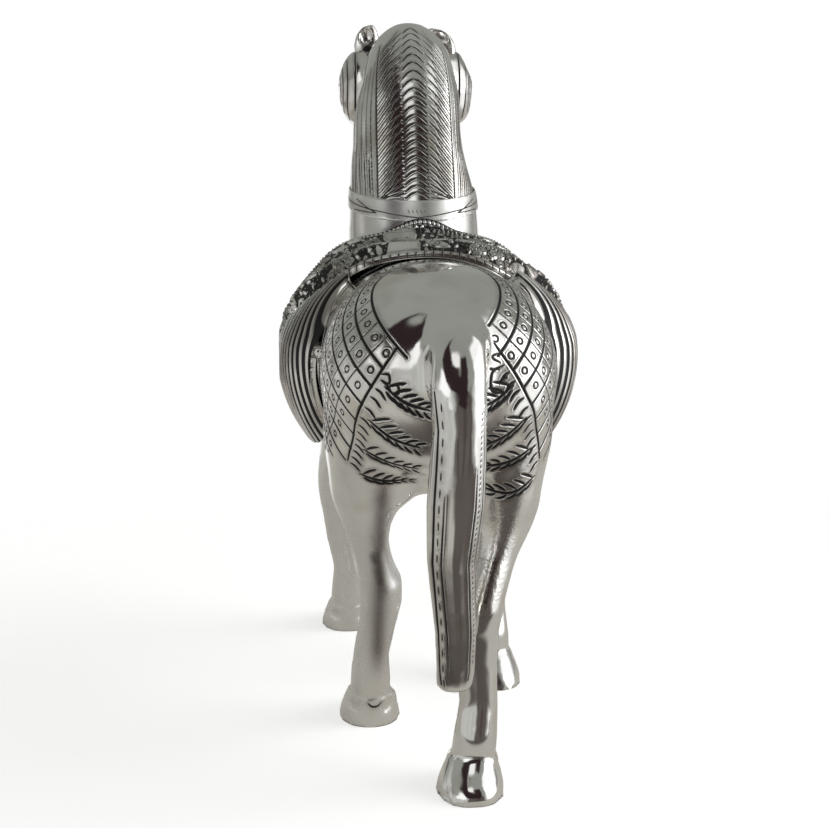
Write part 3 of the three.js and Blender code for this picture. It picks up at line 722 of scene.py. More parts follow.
# Tail: a solid casting set into the buttocks. It has a groove and a dashed line down its left side, a dotted
# line down its right, and long fine hairs between them.
def tail_face(share_out, height):
    """Chart of the tail's outer side: -1 at its right edge to 1 at its left, and millimetres up."""
    over = TAIL_MIDDLE + np.interp(height, TAIL_HEIGHTS, TAIL_SHIFT)
    over += share_out * np.interp(height, TAIL_HEIGHTS, TAIL_HALF)
    return graver.cast(at(over, -160, height), Vector((0, -1, 0)))


graver.step = CUT_STEP
for line, width, taper in (([(0.88, 134), (0.86, 116), (0.86, 90), (0.84, 44)], 0.9, 0.3),
                           ([(0.5, 104), (0.52, 80), (0.42, 46)], 0.55, 0.6),
                           ([(-0.66, 112), (-0.64, 80), (-0.6, 46)], 0.5, 0.6),
                           ([(-0.93, 130), (-0.95, 100), (-0.93, 48)], 0.6, 0.6)):
    graver.cut(tail_face, line, width, taper)
for k in range(18):
    graver.cut(tail_face, [(0.69, 131 - 5.0 * k), (0.69, 128.4 - 5.0 * k)], 0.5, 0.6)
for k in range(46):
    graver.cut(tail_face, [(-0.8, 128 - 1.7 * k), (-0.8, 127.4 - 1.7 * k)], 0.5, 0.2, step=0.2)


# Cheeks and face: part of the head's casting. Nested ribs are cut round each jowl, and on the face the eyes,
# nostrils, mouth and bridle. The face slopes down at 54 degrees.
JOWL_OUT, JOWL_AHEAD, JOWL_UP = 15, 93.2, 225
POLL_AHEAD, POLL_UP = 85.3, 239.4
FACE_COS, FACE_SIN = 0.588, 0.809


def jowl(side):
    """Chart of a jowl: degrees up round it from behind, and degrees out to its side."""
    def chart(turn, out):
        turn, out = math.radians(turn), math.radians(out)
        way = Vector((side * math.sin(out), math.cos(out) * math.cos(turn), math.cos(out) * math.sin(turn)))
        return graver.cast(at(side * JOWL_OUT, JOWL_AHEAD, JOWL_UP), way)
    return chart


def face(side):
    """Chart of the head's side: millimetres down from the poll, and towards the forehead."""
    def chart(along, over):
        ahead = POLL_AHEAD + FACE_COS * along + FACE_SIN * over
        up = POLL_UP - FACE_SIN * along + FACE_COS * over
        return graver.cast(at(side * 60, ahead, up), Vector((-side, 0, 0)))
    return chart


for side in (1, -1):
    for out in (20, 36, 50, 64):
        rib = [(70, out), (35, out + 3), (0, out + 4), (-35, out + 2), (-65, out - 4)]
        graver.cut(jowl(side), rib, 0.8, 0.4, step=0.8)
    chart = face(side)
    graver.ring(chart, (24, 7.5), (3.0, 1.9), 0.6)
    graver.ring(chart, (24.3, 7.4), (1.2, 1.2), 0.7)
    graver.cut(chart, [(18.5, 9), (22, 12), (28, 10.5)], 0.6, 0.6)
    graver.ring(chart, (66, 4), (1.9, 1.3), 0.9)
    graver.cut(chart, [(73, -2.5), (66, -5), (59, -7)], 0.8, 0.4)
    for shift in (0, 2.6):
        graver.cut(chart, [(8 + shift, 12), (22 + shift, -1), (47 + shift, -6)], 0.5, 0.1)
        graver.cut(chart, [(46 + shift, 14), (47 + shift, 3), (46 + shift, -12)], 0.5, 0.1)
        graver.cut(chart, [(11 + shift, -2), (12 + shift, 8), (10 + shift, 18)], 0.5, 0.1)
    for k in range(9):
        graver.ring(chart, (48.2, 12 - 2.6 * k), (0.7, 0.7), 0.35)


# Shoulders: part of the trunk's castings. Three ferns and a hatched border are cut on each, like the ferns
# behind.
def flank(side):
    """Chart of a flank: millimetres ahead and up."""
    return lambda ahead, up: graver.cast(at(side * 90, ahead, up), Vector((-side, 0, 0)))


graver.step = DEGREE_STEP
for side in (1, -1):
    for root, tip, barbs, length in (((45, 104), (66, 117), 6, 7.5), ((46, 122), (70, 138), 7, 7.5),
                                     ((47, 141), (69, 158), 6, 7)):
        fern(flank(side), root, tip, barbs, length)
    border = [(42.5, 160), (41.5, 140), (42, 120), (43, 98)]
    graver.cut(flank(side), border, 0.9, 0.3, step=CUT_STEP)
    for ahead_mm, up_mm in trail(border, 3.4):
        dash = [(ahead_mm + 1, up_mm - 0.5), (ahead_mm + 4, up_mm - 2.5)]
        graver.cut(flank(side), dash, 0.8, 0.7, step=CUT_STEP)


# Scratches on the croup, seen from above, and a crescent punched into the left hind hoof, seen from behind
def from_above(over, ahead):
    return graver.cast(at(over, ahead, 260), Vector((0, 0, -1)))


def left_hoof(over, height):
    return graver.cast(at(over, -70, height), Vector((0, -1, 0)))


graver.step = CUT_STEP
for scratch in ([(-4, -52), (-6.5, -54)], [(3, -40), (0, -40.5)], [(9, -60), (11, -58)]):
    graver.cut(from_above, scratch, 0.45, 0.9)
graver.cut(left_hoof, [(22.2, 9.6), (20.8, 8.1), (18.8, 8.1), (17.4, 9.4)], 0.9, 0.5)

graver.refine((2.0, 1.2))
graver.carve()

# The left legs were left satin and the others polished. A dark streak painted down the back of the left hind
# leg is a painted reflection, and the right gaskin kept the pits of its casting.
left, ahead, up = body.horse().T
facing_back = np.clip(body.out[:, 1] * 2, 0, 1)
off_tail = 1 - np.clip(values_of(skin.data.attributes["tail"].data, "value") * 2, 0, 1)
satin_share = soft_step(up, 98, 74) * off_tail * np.where(left > 2, 0.9, np.where(ahead > -30, 0.5, 0.1))
satin_share *= np.where((ahead < -30) | (left > 2), soft_step(up, 4, 9) * 0.5 + 0.5, 1)
satin_share += 0.7 * soft_step(up, 164, 171) * soft_step(up, 186, 180) * (ahead > 25)
# Painted reflection: a dark streak down the back of the left hind leg, kept as the "streak" attribute.
painted_reflection_streak_share = np.exp(-((left - 19) / 2.8) ** 2) * soft_step(up, 108, 92) * soft_step(up, 16, 34)
painted_reflection_streak_share *= (ahead < 20) * facing_back * off_tail
pit_share = soft_step(up, 60, 66) * soft_step(up, 104, 88) * (left < -4) * (ahead < -30) * off_tail
keep_values(skin.data, "satin", satin_share)
keep_values(skin.data, "streak", painted_reflection_streak_share)
keep_values(skin.data, "pits", pit_share)


# White metal: a copper alloy plated with nickel and buffed by hand. Above the legs it is a mirror with a
# slight orange peel, and down the legs it goes satin. The cuts and their surroundings are blackened.
METAL = (0.84, 0.84, 0.82, 1)
CLOUDED_METAL = (0.66, 0.63, 0.59, 1)
STAINED_METAL = (0.56, 0.50, 0.41, 1)
SATIN_METAL = (0.80, 0.80, 0.78, 1)
# Painted reflection: the colour of the dark streak on the left hind leg.
PAINTED_DARK_REFLECTION = (0.13, 0.105, 0.10, 1)
HAZE_BLACK = (0.20, 0.175, 0.155, 1)
OXIDE_BLACK = (0.012, 0.011, 0.012, 1)


def white_metal(name, gloss=0.07, legs=False, grime=0.5):
    finish = bpy.data.materials.new(name)
    recipe = Recipe(finish)
    place = recipe.node("ShaderNodeTexCoord", out=3)

    def share(layer_name):
        return recipe.node("ShaderNodeAttribute", {"attribute_name": layer_name}, out=2)

    cloud = recipe.noise(place, 42, 3, 0.6)
    fine = recipe.noise(place, 420, 2, 0.5)
    streak_place = recipe.node("ShaderNodeMapping", None, {0: place, "Scale": (1, 1, 0.12)})
    streak = recipe.noise(streak_place, 900, 2, 0.6)
    colour = recipe.mix(cloud.rise(0.42, 0.72) * 0.55, METAL, CLOUDED_METAL)
    stain = recipe.noise(place, 24, 3, 0.6).rise(0.52, 0.70) * 0.55
    colour = recipe.mix(stain, colour, STAINED_METAL)
    rough = fine * 0.05 + cloud.rise(0.5, 0.8) * 0.05 + (gloss - 0.02)
    height = recipe.noise(place, 110, 2, 0.5) + fine * 0.12
    if legs:
        satin, pits = share("satin"), share("pits")
        colour = recipe.mix(satin * 0.8, colour, SATIN_METAL)
        # Painted reflection: the dark streak down the left hind leg.
        colour = recipe.mix(share("streak") * 0.85, colour, PAINTED_DARK_REFLECTION)
        rough = rough + satin * (streak * 0.14 + 0.16) + pits * 0.06
        height = height + streak * satin * 0.04 + pits * recipe.noise(place, 620, 3, 0.7) * 3.2
    black = share("cut")
    oxide = black.rise(0.1, -0.1)
    haze = black.rise(1.9, 0.0) * cloud.rise(0.30, 0.65) * grime
    colour = recipe.mix(haze, colour, HAZE_BLACK)
    colour = recipe.mix(oxide, colour, OXIDE_BLACK)
    rough = rough + oxide * 0.45 + haze * 0.2
    bump = recipe.node("ShaderNodeBump", None, {"Strength": 1.0, "Distance": 0.00006, "Height": height})
    shader = recipe.node("ShaderNodeBsdfPrincipled", None, {
        "Base Color": colour,
        "Metallic": 1 - oxide * 0.8,
        "Roughness": rough,
        "Normal": bump,
    })
    recipe.node("ShaderNodeOutputMaterial", None, {"Surface": shader})
    return finish


cast_finish = white_metal("polished_white_metal", legs=True)


# The joints between the castings, where the skin is parted. Each part is closed across its cut, and keeps the
# whole skin's shading, so that the ground joints stay invisible.
COLLAR_POINT = at(0, 61.27, 185)
COLLAR_UP = Vector((0, math.sin(math.radians(9)), math.cos(math.radians(9))))
HEAD_NORMAL = Vector((0, -math.cos(math.radians(20)), math.sin(math.radians(20))))
UP = Vector((0, 0, 1))

whole = form_of(skin.data)
shade = whole.verts.layers.float_vector.new("shade")
for corner in whole.verts:
    corner[shade] = corner.normal
outer = whole.faces.layers.int.new("outer")
for face in whole.faces:
    face[outer] = 1


def parted(form, point, normal, near=None):
    """Splits a closed form at a plane, and closes both parts. Returns the part in front and the rest."""
    parts = []
    for keep_front in (True, False):
        part = form.copy()
        if near and keep_front:
            bmesh.ops.delete(part, geom=[v for v in part.verts if not near(v.co)], context="VERTS")
        corners = [v for v in part.verts if near is None or near(v.co)]
        chosen = set(corners)
        geom = corners + [e for e in part.edges if e.verts[0] in chosen and e.verts[1] in chosen]
        geom += [f for f in part.faces if all(v in chosen for v in f.verts)]
        bmesh.ops.bisect_plane(part, geom=geom, dist=1e-7, plane_co=point, plane_no=normal,
                               clear_inner=keep_front, clear_outer=not keep_front)
        if near and keep_front:
            torn = {e.verts[0] for e in part.edges if e.is_boundary}
            torn = {v for v in torn if abs((v.co - point).dot(normal)) > 1e-5}
            scraps = [v for island in islands(part) if island & torn for v in island]
            bmesh.ops.delete(part, geom=scraps, context="VERTS")
        bmesh.ops.holes_fill(part, edges=[e for e in part.edges if e.is_boundary])
        parts.append(part)
    return parts


def tail_parted(form, keep_tail):
    """The tail's share of the form, or the rest, closed where they met."""
    part = form.copy()
    mark = part.verts.layers.float["tail"]
    drop = [f for f in part.faces if (sum(v[mark] for v in f.verts) / len(f.verts) > 0.5) != keep_tail]
    bmesh.ops.delete(part, geom=drop, context="FACES")
    shells = sorted(islands(part), key=len)
    bmesh.ops.delete(part, geom=[v for shell in shells[:-1] for v in shell], context="VERTS")
    filled = bmesh.ops.holes_fill(part, edges=[e for e in part.edges if e.is_boundary])
    bmesh.ops.poke(part, faces=filled["faces"])
    return part


def placed(piece, finish, node):
    """Gives a piece its finish and lets it stand for its CAD node."""
    piece.data.materials.clear()
    piece.data.materials.append(finish)
    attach(piece, "root")
    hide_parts(node)


def finished(name, form, node):
    """Makes a piece of a closed form, with the whole skin's shading outside and flat cuts."""
    form.normal_update()
    piece = piece_of(name, form)
    mesh = piece.data
    mesh.shade_smooth()
    totals = values_of(mesh.polygons, "loop_total", 1, np.int32)
    outer = np.repeat(values_of(mesh.attributes["outer"].data, "value", 1, np.int32), totals)
    of_skin = values_of(mesh.attributes["shade"].data, "vector", 3)
    of_skin = of_skin[values_of(mesh.loops, "vertex_index", 1, np.int32)]
    of_face = np.repeat(values_of(mesh.polygons, "normal", 3), totals, axis=0)
    directions = np.where(outer[:, None] == 1, of_skin, of_face)
    directions /= np.maximum(np.linalg.norm(directions, axis=1), 1e-9)[:, None]
    mesh.normals_split_custom_set(directions.tolist())
    for layer in ("shade", "outer", "tail"):
        mesh.attributes.remove(mesh.attributes[layer])
    placed(piece, cast_finish, node)


finished("cast_tail", tail_parted(whole, True), "tail")
without_tail = tail_parted(whole, False)
legs, trunk = parted(without_tail, at(0, 0, 88), -UP)
neck, trunk = parted(trunk, COLLAR_POINT, COLLAR_UP, lambda co: co.y < at(0, 15, 0).y)
head, neck = parted(neck, at(0, 85.3, 237.6), HEAD_NORMAL)
left_half, right_half = parted(trunk, at(0, 0, 0), Vector((1, 0, 0)))
finished("cast_trunk_left", left_half, "trunk_shell_left")
finished("cast_trunk_right", right_half, "trunk_shell_right")
finished("cast_neck", neck, "neck_shell")
finished("cast_head", head, "head")

HOCK_JOINT = 62
KNEE_JOINT = 52
for name in LEGS:
    leg = legs.copy()
    stray = []
    for island in islands(leg):
        centre = sum((v.co for v in island), Vector()) / len(island)
        if (centre.x > spine) != ("left" in name) or (centre.y < middle) != ("fore" in name):
            stray += island
    bmesh.ops.delete(leg, geom=stray, context="VERTS")
    upper, lower = parted(leg, at(0, 0, KNEE_JOINT if "fore" in name else HOCK_JOINT), UP)
    finished(f"cast_{name}_upper", upper, f"{name}_upper")
    finished(f"cast_{name}_lower", lower, f"{name}_lower")
    leg.free()
for form in (whole, without_tail, legs, trunk):
    form.free()
bpy.data.objects.remove(skin)


# Ears: two small dished castings of the same white metal, with their stems let into the poll and brazed.
# Their hollows are darkened almost to black.
def polished_piece(name, grain, rounds, node):
    """A small casting with its edges rounded by the buff."""
    piece = moulded(name, [node], grain)
    piece.data.shade_smooth()
    surface = Surface(piece.data)
    surface.co -= surface.out * OVERLAP
    surface.buff(rounds)
    surface.write()
    return piece, surface


ear_finish = white_metal("ear_metal", gloss=0.16)
for name, side, widen, back, drop, hollow in (("left", 1, 1.25, 2.0, -0.4, (15.5, 239.5)),
                                              ("right", -1, 1.75, 5.0, 1.0, (-14.5, 239))):
    ear, surface = polished_piece(f"dished_ear_{name}", 0.4 * MM, 4, f"ear_{name}")
    left, ahead, up = surface.horse().T
    surface.co[:, 0] += ((left - left.min()) * (widen - 1) - 1.2 * (side > 0)) * MM
    surface.co[:, 1] += back * MM
    surface.co[:, 2] -= (drop + soft_step(up, up.max() - 1.5, up.max()) * 0.5) * MM
    surface.write()
    left, ahead, up = surface.horse().T
    darkened_hollow = (np.hypot((left - hollow[0]) / 2.4, (up - hollow[1]) / 3.2) - 1) * 1.5
    keep_values(ear.data, "cut", np.clip(darkened_hollow, -2, 2))
    placed(ear, ear_finish, f"ear_{name}")


# Collar: a plain band of white metal, laid nearly flush over the joint of the neck and brazed. Two cut lines
# part at each side, and a few short strokes stand at the back.
collar, surface = polished_piece("collar_band", 0.5 * MM, 6, "neck_collar")
COLLAR_MIDDLE = at(0, 50, 184)
for k, spot in enumerate(surface.co):
    arm = Vector(spot) - COLLAR_MIDDLE
    foot = COLLAR_MIDDLE + COLLAR_UP * arm.dot(COLLAR_UP)
    way = Vector(spot) - foot
    skin_spot = graver.cast(foot, way.normalized())
    if skin_spot:
        girth = (skin_spot - foot).length
        level_mm = min(0.95, max(-0.6, (way.length - girth) / MM * 0.45))
        surface.co[k] = foot + way.normalized() * (girth + level_mm * MM)
surface.buff(8)
surface.write()
form = form_of(collar.data)
bmesh.ops.subdivide_edges(form, edges=form.edges[:], cuts=1, use_grid_fill=True)
settle(form, collar.data)
surface.read()
left, ahead, up = surface.horse().T
around = np.arctan2(left, 50 - ahead) * 25
level_mm = (surface.co - np.array(COLLAR_MIDDLE)) @ np.array(COLLAR_UP) / MM


def from_line(x, y, start, end):
    """How far the places x, y lie from a straight line between two points."""
    start, end = np.array(start, dtype=float), np.array(end, dtype=float)
    along = end - start
    t = np.clip(((x - start[0]) * along[0] + (y - start[1]) * along[1]) / (along @ along), 0, 1)
    return np.hypot(x - start[0] - along[0] * t, y - start[1] - along[1] * t)


LINE_WIDTH = 0.35
STROKE_WIDTH = 0.3
gap = np.full(len(left), 2.0)
for side in (1, -1):
    for x, y, end_x, end_y in ((0, -3, 14, -1.8), (14, -1.8, 80, 1), (17, -2.4, 30, 0.8), (17, -2.4, 30, -3)):
        line = from_line(around, level_mm, (side * x, y), (side * end_x, end_y))
        gap = np.minimum(gap, line - LINE_WIDTH / 2)
for k in range(5):
    line = from_line(around, level_mm, (-3 + 1.6 * k, -1.4), (-2.6 + 1.6 * k, -0.6))
    gap = np.minimum(gap, line - STROKE_WIDTH / 2)
keep_values(collar.data, "cut", gap)
placed(collar, white_metal("collar_metal", gloss=0.30), "neck_collar")


# Saddle cloth: one casting let down over the back, thin at its rear edge and thick over the ribs, and drawn
# to a point on each flank. It is brazed to the trunk. Its ornament is chased: raised flowers and leaves on a
# ground punched black.
AXIS_HEIGHT = 130
CLOTH_THICKNESS = 4.6
CLOTH_FLARE = 3.2
CLOTH_EDGE = 1.5
CLOTH_SHOULDER = 161
CLOTH_TIP = 3
CLOTH_FRONT = 35
CLOTH_SIDE_OFFSET = 1.1
CLOTH_CLEARANCE = 0.4
CLOTH_RISE_LENGTH = 13
CLOTH_ROWS = 421
CLOTH_COLUMNS = 171
HEM_FALL = 24
HEM_BEND = 3
REAR_CROWDING = 1.25


def hide(turn, ahead):
    """The bare skin at a turn about the body's axis, in degrees from the top towards the left."""
    turn = math.radians(turn)
    return graver.cast(at(0, ahead, AXIS_HEIGHT), Vector((math.sin(turn), 0, math.cos(turn))))


def hem_share(height):
    """How far down the drawn point of the saddle cloth a height lies: 0 at its shoulder, 1 at its tip."""
    fallen = max(0, CLOTH_SHOULDER - height)
    return (math.sqrt(HEM_FALL ** 2 + 4 * HEM_BEND * fallen) - HEM_FALL) / (2 * HEM_BEND)


def rear_hem(share):
    return -CLOTH_REAR * (1 - share) ** 2 - 26 * share * (1 - share) + CLOTH_TIP * share ** 2


def front_hem(share):
    return CLOTH_FRONT * (1 - share) ** 2 + 38 * share * (1 - share) + CLOTH_TIP * share ** 2


def cloth_ends(turn):
    """Where the saddle cloth begins and ends along the body, at a turn."""
    rear = -CLOTH_REAR
    front = np.interp(abs(turn), (0, 9, 18, 28, 38, 50), (25, 24, 20.5, 23, 30, CLOTH_FRONT))
    for _ in range(4):
        spots = [hide(turn, rear), hide(turn, front)]
        behind, before = [min(1, hem_share(spot.z / MM)) if spot else 0 for spot in spots]
        rear = rear_hem(behind)
        front = min(front, front_hem(before))
    return rear, front


def outward(grid):
    """The directions square to a grid of places."""
    along = np.gradient(grid, axis=1)
    across = np.gradient(grid, axis=0)
    normal = np.cross(across, along)
    normal /= np.maximum(np.linalg.norm(normal, axis=2), 1e-12)[:, :, None]
    return normal


def soothed(grid, rounds):
    """A grid with its ripples taken out, its border kept."""
    grid = grid.copy()
    for _ in range(rounds):
        inner = (grid[:-2, 1:-1] + grid[2:, 1:-1] + grid[1:-1, :-2] + grid[1:-1, 2:]) / 4
        grid[1:-1, 1:-1] += (inner - grid[1:-1, 1:-1]) * 0.5
        grid[1:-1, 0] += ((grid[:-2, 0] + grid[2:, 0]) / 2 - grid[1:-1, 0]) * 0.5
        grid[1:-1, -1] += ((grid[:-2, -1] + grid[2:, -1]) / 2 - grid[1:-1, -1]) * 0.5
    return grid


turns = np.linspace(-86, 86, 87)
ahead_shares = np.linspace(0, 1, 35)
coarse = np.zeros((len(turns), len(ahead_shares), 3))
ends = [cloth_ends(turn) for turn in turns]
first, last = [f([k for k, (rear, front) in enumerate(ends) if front - rear > 3]) for f in (min, max)]
turns, ends, coarse = turns[first:last + 1], ends[first:last + 1], coarse[first:last + 1]
for i, (turn, (rear, front)) in enumerate(zip(turns, ends)):
    for j, share_along in enumerate(ahead_shares):
        coarse[i, j] = hide(turn, rear + (front - rear) * share_along ** REAR_CROWDING)
coarse = soothed(coarse, 6)


def finer(values, rows, columns):
    """The values of a grid, spread over a finer one along smooth curves."""
    def curve(table, count):
        place = np.linspace(0, len(table) - 1, count)
        k = np.minimum(place.astype(int), len(table) - 2)
        t = (place - k).reshape(-1, *[1] * (table.ndim - 1))
        padded = np.concatenate([2 * table[:1] - table[1:2], table, 2 * table[-1:] - table[-2:-1]])
        a, b, c, d = (padded[k + i] for i in range(4))
        return 0.5 * (2 * b + (c - a) * t + (2 * a - 5 * b + 4 * c - d) * t ** 2
                      + (3 * b - a - 3 * c + d) * t ** 3)
    return np.swapaxes(curve(np.swapaxes(curve(values, rows), 0, 1), columns), 0, 1)


back = finer(coarse, CLOTH_ROWS, CLOTH_COLUMNS)
turn_grid = finer(np.repeat(turns[:, None], len(ahead_shares), axis=1), CLOTH_ROWS, CLOTH_COLUMNS)
normal = outward(back)
if normal[CLOTH_ROWS // 2, 20, 2] < 0:
    normal = -normal
cloth_along = (middle - back[:, :, 1]) / MM
cloth_lengths = np.linalg.norm(back[:, -1] - back[:, 0], axis=1)[:, None]
from_rear = np.linspace(0, 1, CLOTH_COLUMNS)[None, :] ** REAR_CROWDING * cloth_lengths / MM
swell = np.sin(np.clip(from_rear / CLOTH_RISE_LENGTH, 0, 1) * math.pi / 2)
full = CLOTH_THICKNESS + CLOTH_FLARE * np.clip(0.95 - np.cos(np.radians(turn_grid)), 0, 1)
lifted = np.exp(-((turn_grid - 40) / 17) ** 2) * np.exp(-(from_rear / 9) ** 2) * 1.5
lip = soft_step(from_rear, -0.2, 0.45)
roll = np.interp(np.abs(turn_grid), (0, 30, 60, 80), (1.3, 2.6, 2.2, 0))
roll *= np.exp(-((from_rear - 12) / 6.5) ** 2)
cloth_top = CLOTH_CLEARANCE + 0.1 + (CLOTH_EDGE - 0.1) * lip + (full - CLOTH_EDGE) * swell + lifted + roll
cloth_base = back + normal * (cloth_top * MM)[:, :, None]
cloth_base[:, :, 0] -= CLOTH_SIDE_OFFSET * MM * swell
steps = np.linalg.norm(np.diff(cloth_base, axis=0), axis=2) / MM
cloth_across = np.vstack([np.zeros((1, CLOTH_COLUMNS)), np.cumsum(steps, axis=0)])
cloth_across -= cloth_across[CLOTH_ROWS // 2]


def sheet(name, outside, inside, gap):
    """A closed shell between a fine outer grid of places and the inner one, which is half as fine."""
    form = bmesh.new()
    cut = form.verts.layers.float.new("cut")
    rims = []
    for grid in (outside, inside[::2, ::2]):
        rows, columns = grid.shape[:2]
        made = bmesh.ops.create_grid(form, x_segments=columns - 1, y_segments=rows - 1, size=1)["verts"]
        for k, corner in enumerate(made):
            corner.co = grid[k // columns, k % columns]
            corner[cut] = gap[k // columns, k % columns] if grid is outside else 2
        rim = [made[j] for j in range(columns)]
        rim += [made[i * columns + columns - 1] for i in range(1, rows)]
        rim += [made[(rows - 1) * columns + j] for j in range(columns - 2, -1, -1)]
        rim += [made[i * columns] for i in range(rows - 2, 0, -1)]
        rims.append(rim)
    fine, rough = rims
    for k in range(len(rough)):
        a, b, c = fine[2 * k], fine[2 * k + 1], fine[(2 * k + 2) % len(fine)]
        d, e = rough[k], rough[(k + 1) % len(rough)]
        for corners in ((a, b, d), (b, e, d), (b, c, e)):
            form.faces.new(corners)
    bmesh.ops.recalc_face_normals(form, faces=form.faces)
    piece = piece_of(name, form)
    piece.data.shade_smooth()
    return piece


chased_finish = white_metal("chased_white_metal", gloss=0.12, grime=0.85)


class Chasing:
    """Relief on a sheet: raised shapes with black outlines, on a sunk black ground with bright specks. Shapes
    are given as signed distances to their outline, in millimetres."""

    def __init__(self, across, along):
        self.x, self.y = across, along
        self.lift = np.full(across.shape, -0.4)
        cell = 2.1
        column, row = np.floor(across / cell), np.floor(along / cell)
        jitter_x = np.modf(np.abs(np.sin(column * 12.99 + row * 78.23) * 437.5))[0] - 0.5
        jitter_y = np.modf(np.abs(np.sin(column * 39.35 + row * 11.14) * 437.5))[0] - 0.5
        speck_x = (column + 0.5 + jitter_x * 0.6) * cell
        speck_y = (row + 0.5 + jitter_y * 0.6) * cell
        self.gap = 0.26 - np.hypot(across - speck_x, along - speck_y)

    def shape(self, distance, height=0.35, outline=0.34):
        inside = soft_step(distance, 0.05, -0.4)
        self.lift = self.lift * (1 - inside) + height * inside
        self.gap = np.where(distance < 0.1, 2, self.gap)
        self.gap = np.minimum(self.gap, np.abs(distance - outline / 2) - outline / 2)

    def groove(self, distance, width=0.3):
        """A cut along the places where the distance is 0."""
        edge = np.abs(distance) - width / 2
        self.gap = np.minimum(self.gap, edge)
        self.lift -= 0.2 * soft_step(edge, 0.12, -0.12)

    def hollow(self, distance, depth, edge, floor):
        """A black hollow, with a wall that runs from its edge to its floor."""
        self.gap = np.where(distance < 0, -1, self.gap)
        self.lift -= depth * soft_step(distance, edge, floor)

    def disc(self, x, y, rx, ry):
        return (np.hypot((self.x - x) / rx, (self.y - y) / ry) - 1) * min(rx, ry)

    def lens(self, start, end, half_width, bow=0.0):
        """A leaf from one point to another, bent sideways by the bow."""
        start, end = np.array(start, dtype=float), np.array(end, dtype=float)
        along = end - start
        length = np.linalg.norm(along)
        along = along / length
        x = (self.x - start[0]) * along[0] + (self.y - start[1]) * along[1]
        y = (self.y - start[1]) * along[0] - (self.x - start[0]) * along[1]
        y = y - bow * np.sin(np.clip(x / length, 0, 1) * math.pi)
        radius = (length ** 2 / 4 + half_width ** 2) / (2 * half_width)
        return np.maximum(np.hypot(x - length / 2, y - radius + half_width),
                          np.hypot(x - length / 2, y + radius - half_width)) - radius

    def segment(self, start, end):
        return from_line(self.x, self.y, start, end)

    def flower(self, x, y, size=1.0, petals=6, turn=0.3, stretch=1.1):
        for k in range(petals):
            way = turn + 2 * math.pi * k / petals
            px, py = x + 3.4 * size * math.cos(way), y + 3.4 * stretch * size * math.sin(way)
            self.shape(self.disc(px, py, 1.75 * size, 1.75 * stretch * size), 0.45)
            self.groove(self.disc(px, py, 0.75 * size, 0.75 * stretch * size), 0.3)
        self.shape(self.disc(x, y, 1.75 * size, 1.75 * stretch * size), 0.6, 0.4)
        self.groove(self.disc(x, y, 0.85 * size, 0.85 * stretch * size), 0.32)

    def leaf(self, start, end, half_width, bow=0.0, veins=3, height=0.4):
        self.shape(self.lens(start, end, half_width, bow), height)
        start, end = np.array(start, dtype=float), np.array(end, dtype=float)
        along = end - start
        over = np.array([-along[1], along[0]]) / np.linalg.norm(along)
        for k in range(veins):
            t = 0.2 + 0.6 * k / veins
            foot = start + along * t + over * bow * math.sin(math.pi * t)
            for side in (1, -1):
                self.groove(self.segment(foot, foot + along * 0.13 + over * side * half_width * 0.62), 0.22)

    def bare(self, x, y, radius):
        """Whether a spot is on the ground, with nothing within the radius."""
        near = np.hypot(self.x - x, self.y - y) < radius
        return near.any() and (self.lift[near] < -0.35).all()

    def fan(self, x, y, way, reach, count=7, spread=2.2):
        for k in range(count):
            turn = way + spread * (k / (count - 1) - 0.5)
            far = reach * (1 - 0.25 * abs(2 * k / (count - 1) - 1))
            self.shape(self.lens((x + 0.8 * math.cos(turn), y + 0.8 * math.sin(turn)),
                                 (x + far * math.cos(turn), y + far * math.sin(turn)), 0.62), 0.45, 0.25)


work = Chasing(cloth_across, cloth_along)

# A plain field in the middle, beside the spine, drawn out to a tongue in front, with a leaf cut on it
field = np.interp(work.y, (-22, -14, -8, 2, 12, 19, 25), (6.2, 5.8, 4.6, 4.2, 6.5, 6.2, 4))
work.shape(np.abs(work.x - 9) - field, 0.3, 0.4)
for side, end in ((1, (13.2, -3)), (-1, (5.2, -3))):
    work.groove(work.segment((9 + side * 2.2, 8), end), 0.3)
work.groove(work.lens((3.2, 17), (14, 20.5), 2.6, 0.5), 0.35)
work.groove(work.segment((9, -12), (9.5, -5)), 0.2)

# Right of it a bud, dark folded leaves, two flowers and three plain leaves down to the flank
work.leaf((1.5, -13.5), (-7.5, -16.5), 2.0, 0.2, 0)
work.groove(work.disc(-2.6, -14.9, 0.9, 1.1), 0.35)
for start, end, wide in (((1, -9.5), (-6.5, -11.5), 0.9), ((-6.5, -17.5), (-12.5, -21), 1.0),
                         ((-8, -13), (-13, -16), 0.8)):
    work.hollow(work.lens(start, end, wide), 0.5, 0.1, -0.4)
work.leaf((-9, -9.5), (-17, -10.5), 1.7, -0.4, 4)
work.leaf((-1.5, -5), (-9, -7), 1.8, 0.3, 4)
work.flower(-18.6, -15.6, 0.95, 6, 0.2, 1.15)
work.flower(-25.8, -13.6, 0.95, 6, 0.6, 1.15)
work.leaf((-29.5, -16.5), (-36.5, -10), 2.5, 0.4, 2)
work.leaf((-34, -17.5), (-41, -13.5), 1.8, 0.3, 2)
work.leaf((-36.5, -8.5), (-43.5, -5.5), 2.0, 0.4, 2)
for x, y, size, petals in ((-46.5, -12.2, 0.8, 6), (-53.5, -6.5, 0.75, 6), (-61, -0.5, 0.7, 5)):
    work.flower(x, y, size, petals)

